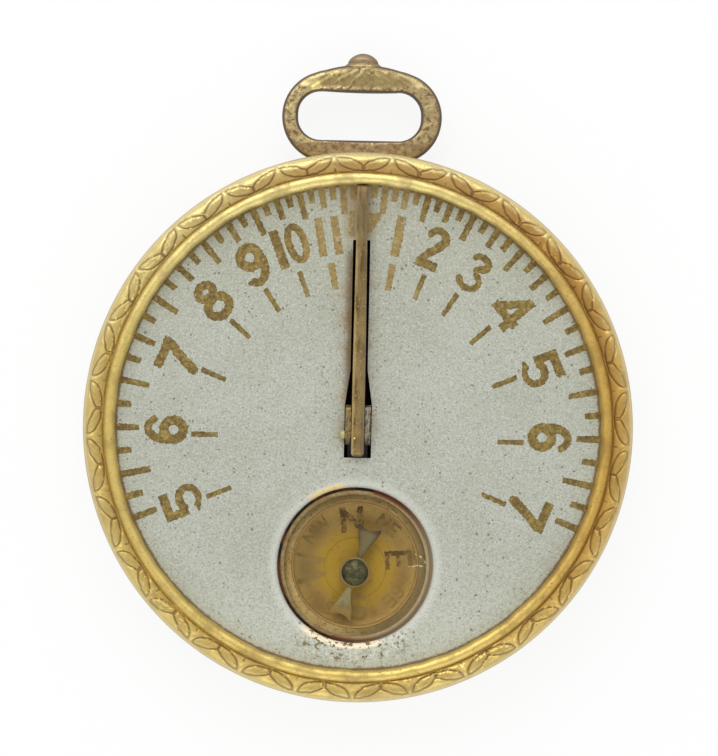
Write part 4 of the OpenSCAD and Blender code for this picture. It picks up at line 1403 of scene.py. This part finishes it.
def card_ink():
    """Dark brown ink, nearly gone on the south-west side."""
    material, place = new_material("card ink")
    grain = noise(place, 2600, 4, 0.7)
    best = larger(ramp(facing(place, 0, hole_y, -5), 0.93, 0.96),
                  times(ramp(facing(place, 0, hole_y, 85), 0.93, 0.96),
                        ramp(distance_to(place, 0, hole_y), 0.0048, 0.0041)))
    fair = ramp(facing(place, 0, hole_y, 30), 0.2, 0.9)
    kept = plus(times(best, 0.5), times(fair, 0.28))
    worn = ramp(noise(place, 1500, 5, 0.75), 0.60, 0.45)
    show = times(plus(kept, 0.1), worn)
    tint = mixed(show, colour(150, 128, 78), colour(72, 46, 24))
    return shaded(material,
                  {"Base Color": tint, "Roughness": ramp(grain, -0.8, 2.0), "Specular IOR Level": 0.3})


letters = printed_piece("card_letters", films, card_z)
dress(letters, card_ink(), "case", "card_print")


# Needle, cap and jewel
# A magnetised steel strip with fishtail ends, its south arm bright and its north arm browned.
# A turned cap holds the cup jewel that rides on the post's point.

needle_low, needle_high = box_of("needle")
cap_low, cap_high = box_of("needle_cap")
heading = math.radians(18)
needle_l = 4.15


def needle_plate():
    """The strip with both arms: a thin neck that flares to a hollow fishtail."""
    side = [(0.95, 0.45), (0.3, 1.0), (0.27, 1.3), (0.28, 1.7), (0.36, 2.1), (0.5, 2.5), (0.68, 2.95),
            (0.86, 3.4), (1.02, needle_l - 0.25), (1.04, needle_l + 0.02), (0.94, needle_l + 0.06)]
    end = [(x, needle_l - 0.28 + 0.34 * (x / 0.94) ** 2) for x in (0.6, 0.3, 0, -0.3, -0.6)]
    arm = [*side, *end, *[(-x, y) for x, y in side[::-1]]]
    outline = np.array([*arm, *[(-x, -y) for x, y in arm]])[::-1]
    c, s = math.cos(heading), math.sin(heading)
    x = outline[:, 0] * c + outline[:, 1] * s
    y = post_y - outline[:, 0] * s + outline[:, 1] * c
    low, high = needle_low.z, needle_high.z
    count = len(outline)
    points = [*zip(x, y, [low] * count), *zip(x, y, [high] * count)]
    faces = [tuple(range(count))[::-1], tuple(range(count, 2 * count))]
    faces += [(i, (i + 1) % count, count + (i + 1) % count, count + i) for i in range(count)]
    piece = mesh_piece("needle_strip", points, faces)
    break_edges(piece, 0.03, angle=50, harden=False)
    return piece


def needle_steel():
    """Grey steel with rusty edges, bluer and brighter towards the south end."""
    material, place = new_material("needle steel")
    axis = axes(place)
    cloud = noise(place, 1200, 5, 0.65)
    north = ramp(axis["Y"], post_y * MM, (post_y + 1.5) * MM)
    tint = mixed(north, colour(128, 136, 116), colour(112, 108, 84))
    tint = stain(tint, ramp(cloud, 0.46, 0.62), 0.65, (112, 100, 72))
    turned = vector("DOT_PRODUCT", place, (math.cos(heading), -math.sin(heading), 0))["Value"]
    offset = maths("ABSOLUTE", plus(turned, post_y * math.sin(heading) * MM))
    away = distance_to(place, 0, post_y)
    wide = times(minus(away, 0.0005), 0.3)
    sides = ramp(minus(offset, wide), -0.0005, 0.0)
    fogged = times(minus(1.0, north), larger(sides, ramp(away, 0.0026, 0.0038)))
    far = ramp(away, (needle_l - 0.7) * MM, (needle_l - 0.1) * MM)
    rust = times(far, times(north, 0.9))
    tint = mixed(rust, tint, colour(72, 52, 48))
    browned = times(times(sides, north), 0.7)
    tint = mixed(browned, tint, colour(76, 58, 44))
    tint = stain(tint, fogged, 0.85, (148, 124, 70))
    return shaded(material, {"Base Color": tint, "Metallic": 0.35, "Roughness": ramp(cloud, -0.6, 1.2)})


needle = needle_plate()
dress(needle, needle_steel(), "compass_needle", "needle_steel", "needle")

cap_r = cap_high.x
cap_z = cap_low.z
cap_top = cap_high.z
cap_well, jewel_top = 0.4, 3.97
strip_top = needle_high.z


def cap_tint(place, tint):
    """Mottled nearly black on the dome, with a lighter, thin rim."""
    away = distance_to(place, 0, post_y)
    blotch = noise(place, 1500, 5, 0.7)
    dome = ramp(away, (cap_r - 0.14) * MM, (cap_r - 0.18) * MM)
    patchy = times(ramp(blotch, 0.38, 0.62), 0.85)
    tint = stain(tint, dome, patchy, (62, 66, 62))
    return mixed(minus(1.0, dome), tint, colour(150, 132, 100))


cap_steel = metal_finish("cap steel", (120, 118, 92), (66, 62, 54), cap_tint, Grime=0.5, Patches=0.8,
                         Specks=0.6, Smoothest=0.6, Dullest=0.8, Relief=0.6)
cap = turned_piece("domed_cap",
                   [(cap_well, cap_z), (0.55, cap_z), (0.55, strip_top),
                    (cap_r - 0.04, strip_top), (cap_r, strip_top + 0.04), (cap_r, strip_top + 0.1),
                    (cap_r - 0.05, strip_top + 0.15), (cap_r - 0.17, strip_top + 0.15),
                    *arc(0, strip_top + 0.12, cap_r - 0.2, cap_top - strip_top - 0.12, 3, 89, 16),
                    (hub_r, cap_top), (hub_r, jewel_top), (cap_well, jewel_top)], (0, post_y), 96)
dress(cap, cap_steel, "compass_needle", "cap_steel", "needle_cap")

garnet, place = new_material("garnet")
cloudy = noise(place, 3000, 3, 0.6)
shaded(garnet,
       {"Base Color": mixed(cloudy, colour(150, 40, 50), colour(112, 24, 34)), "Roughness": 0.12})
dress(copied_piece("cup_jewel", "needle_jewel", 0.02), garnet, "compass_needle", "jewel",
      "needle_jewel")


# Crystal
# A flat glass under the rolled rim, faintly amber and smeared, with a few bright bruised
# scratches near its edge.

glass_low, glass_high = box_of("compass_crystal")
glass_r = glass_high.x
glass_z = glass_low.z
glass_top = glass_high.z


def crystal_glass():
    """Clear glass with a smeared, finely scratched surface. Lamps shine through it."""
    material, place = new_material("crystal glass")
    smear = noise(place, 500, 4, 0.6)
    # Its index is lower than real glass has, so that the broad lamps do not veil the compass.
    glass = add_to(material.node_tree, "ShaderNodeBsdfPrincipled",
                   {"Base Color": colour(250, 246, 232), "Transmission Weight": 1.0, "IOR": 1.22,
                    "Roughness": ramp(smear, 0.3, 3.5)})
    clear = add_to(material.node_tree, "ShaderNodeBsdfTransparent", {"Color": colour(246, 242, 228)})
    lamps = add_to(material.node_tree, "ShaderNodeLightPath")
    both = fed("ShaderNodeMixShader",
               {0: lamps.outputs["Is Shadow Ray"], 1: glass.outputs[0], 2: clear.outputs[0]})
    fed("ShaderNodeOutputMaterial", {"Surface": both.outputs[0]})
    return material


crystal = turned_piece("crystal_disc",
                       [(hub_r, glass_z), (glass_r - 0.05, glass_z), (glass_r, glass_z + 0.05),
                        (glass_r, glass_top - 0.08), (glass_r - 0.08, glass_top - 0.02),
                        (hub_r, glass_top)], compass)
dress(crystal, crystal_glass(), "case", "crystal", "compass_crystal")

# The points of each scratch from the compass's middle, and its half widths.
SCRATCHES = [
    ([(-5.95, 2.25), (-5.7, 2.42), (-5.3, 2.5)], [0.01, 0.035]),
    ([(4.7, -0.05), (5.4, 0.08), (6.2, 0.0)], [0.01, 0.04]),
    ([(5.25, 1.1), (5.75, 0.85), (6.2, 0.25)], [0.01, 0.035]),
    ([(-5.3, -3.75), (-4.95, -4.05)], [0.02, 0.01])]
films = []
for points, widths in SCRATCHES:
    middle = np.mean(points, axis=0)
    place = turned_place(middle[0], hole_y + middle[1], 0.0)
    films.append(film(segment(np.array(points) - middle, widths), 1.0, 0.7, place, 0.03))
bruised = shaded(new_material("bruised glass")[0],
                 {"Base Color": colour(214, 204, 176), "Roughness": 0.7})
scratches = printed_piece("crystal_scratches", films, glass_top)
dress(scratches, bruised, "case", "crystal")


# Floor, light and camera
# A white sheet under soft studio light: a bright dome with a darker patch overhead, where
# the camera stands, and two large lamps, behind the bow and in front of the compass.

scene = bpy.context.scene
scene.view_settings.view_transform = "Standard"

floor_mesh = bpy.data.meshes.new("floor")
half, low = 1.5, -0.0001
corners = [(-half, -half, low), (half, -half, low), (half, half, low), (-half, half, low)]
floor_mesh.from_pydata(corners, [], [(0, 1, 2, 3)])
floor = bpy.data.objects.new("floor", floor_mesh)
scene.collection.objects.link(floor)
sheet = new_material("white sheet")[0]
seen = add_to(sheet.node_tree, "ShaderNodeLightPath").outputs
white = larger(seen["Is Camera Ray"], seen["Is Glossy Ray"])
lit = add_to(sheet.node_tree, "ShaderNodeBsdfDiffuse", {"Color": (0.9, 0.9, 0.9, 1)})
glow = add_to(sheet.node_tree, "ShaderNodeEmission", {"Color": (1, 1, 1, 1), "Strength": 1.0})
blend = fed("ShaderNodeMixShader", {0: times(white, 0.88), 1: lit.outputs[0], 2: glow.outputs[0]})
fed("ShaderNodeOutputMaterial", {"Surface": blend.outputs[0]})
floor_mesh.materials.append(sheet)

# How bright the dome is between the horizon, at 0, and the patch overhead, at 1.
DOME = [(0.35, 0.95), (0.8, 1.0), (0.93, 0.75), (0.985, 0.45)]
world = bpy.data.worlds.new("studio")
scene.world = world
world.use_nodes = True
world.node_tree.nodes.clear()
toward = add_to(world.node_tree, "ShaderNodeTexCoord").outputs["Generated"]
dome = fed("ShaderNodeValToRGB", {"Fac": axes(toward)["Z"]})
stops = dome.color_ramp.elements
stops[0].position, stops[0].color = 0.0, (0.75, 0.75, 0.76, 1)
stops[1].position, stops[1].color = 1.0, (0.42, 0.42, 0.42, 1)
for position, level in DOME:
    stop = stops.new(position)
    stop.color = (level, level, level, 1)
sky = fed("ShaderNodeBackground", {"Color": dome.outputs["Color"], "Strength": 0.75})
fed("ShaderNodeOutputWorld", {"Surface": sky.outputs[0]})

# The place and size of each lamp in metres, and its power in watts.
LAMPS = [("back lamp", (-0.08, 0.36, 0.34), 0.46, 1.42),
         ("front lamp", (0.02, -0.38, 0.31), 0.46, 0.64)]
for name, place, size, power in LAMPS:
    data = bpy.data.lights.new(name, "AREA")
    data.shape = "SQUARE"
    data.size = size
    data.energy = power
    lamp = bpy.data.objects.new(name, data)
    lamp.location = place
    lamp.rotation_euler = Vector(place).to_track_quat("Z", "Y").to_euler()
    scene.collection.objects.link(lamp)

# The camera looks straight down, rolled like the photo. The picture is this wide on the dial,
# and its middle lies this far to the right of the case's middle and above it.
shown_w = 62.685
roll = math.radians(1.2)
side, above = 0.096, 4.304
lens, sensor = 200.0, 36.0
data = bpy.data.cameras.new("camera")
data.sensor_fit = "HORIZONTAL"
data.sensor_width = sensor
data.lens = lens
camera = bpy.data.objects.new("camera", data)
x = side * math.cos(roll) - above * math.sin(roll)
y = side * math.sin(roll) + above * math.cos(roll)
camera.location = (x * MM, y * MM, (dial_top + shown_w * lens / sensor) * MM)
camera.rotation_euler = (0, 0, roll)
scene.collection.objects.link(camera)
scene.camera = camera
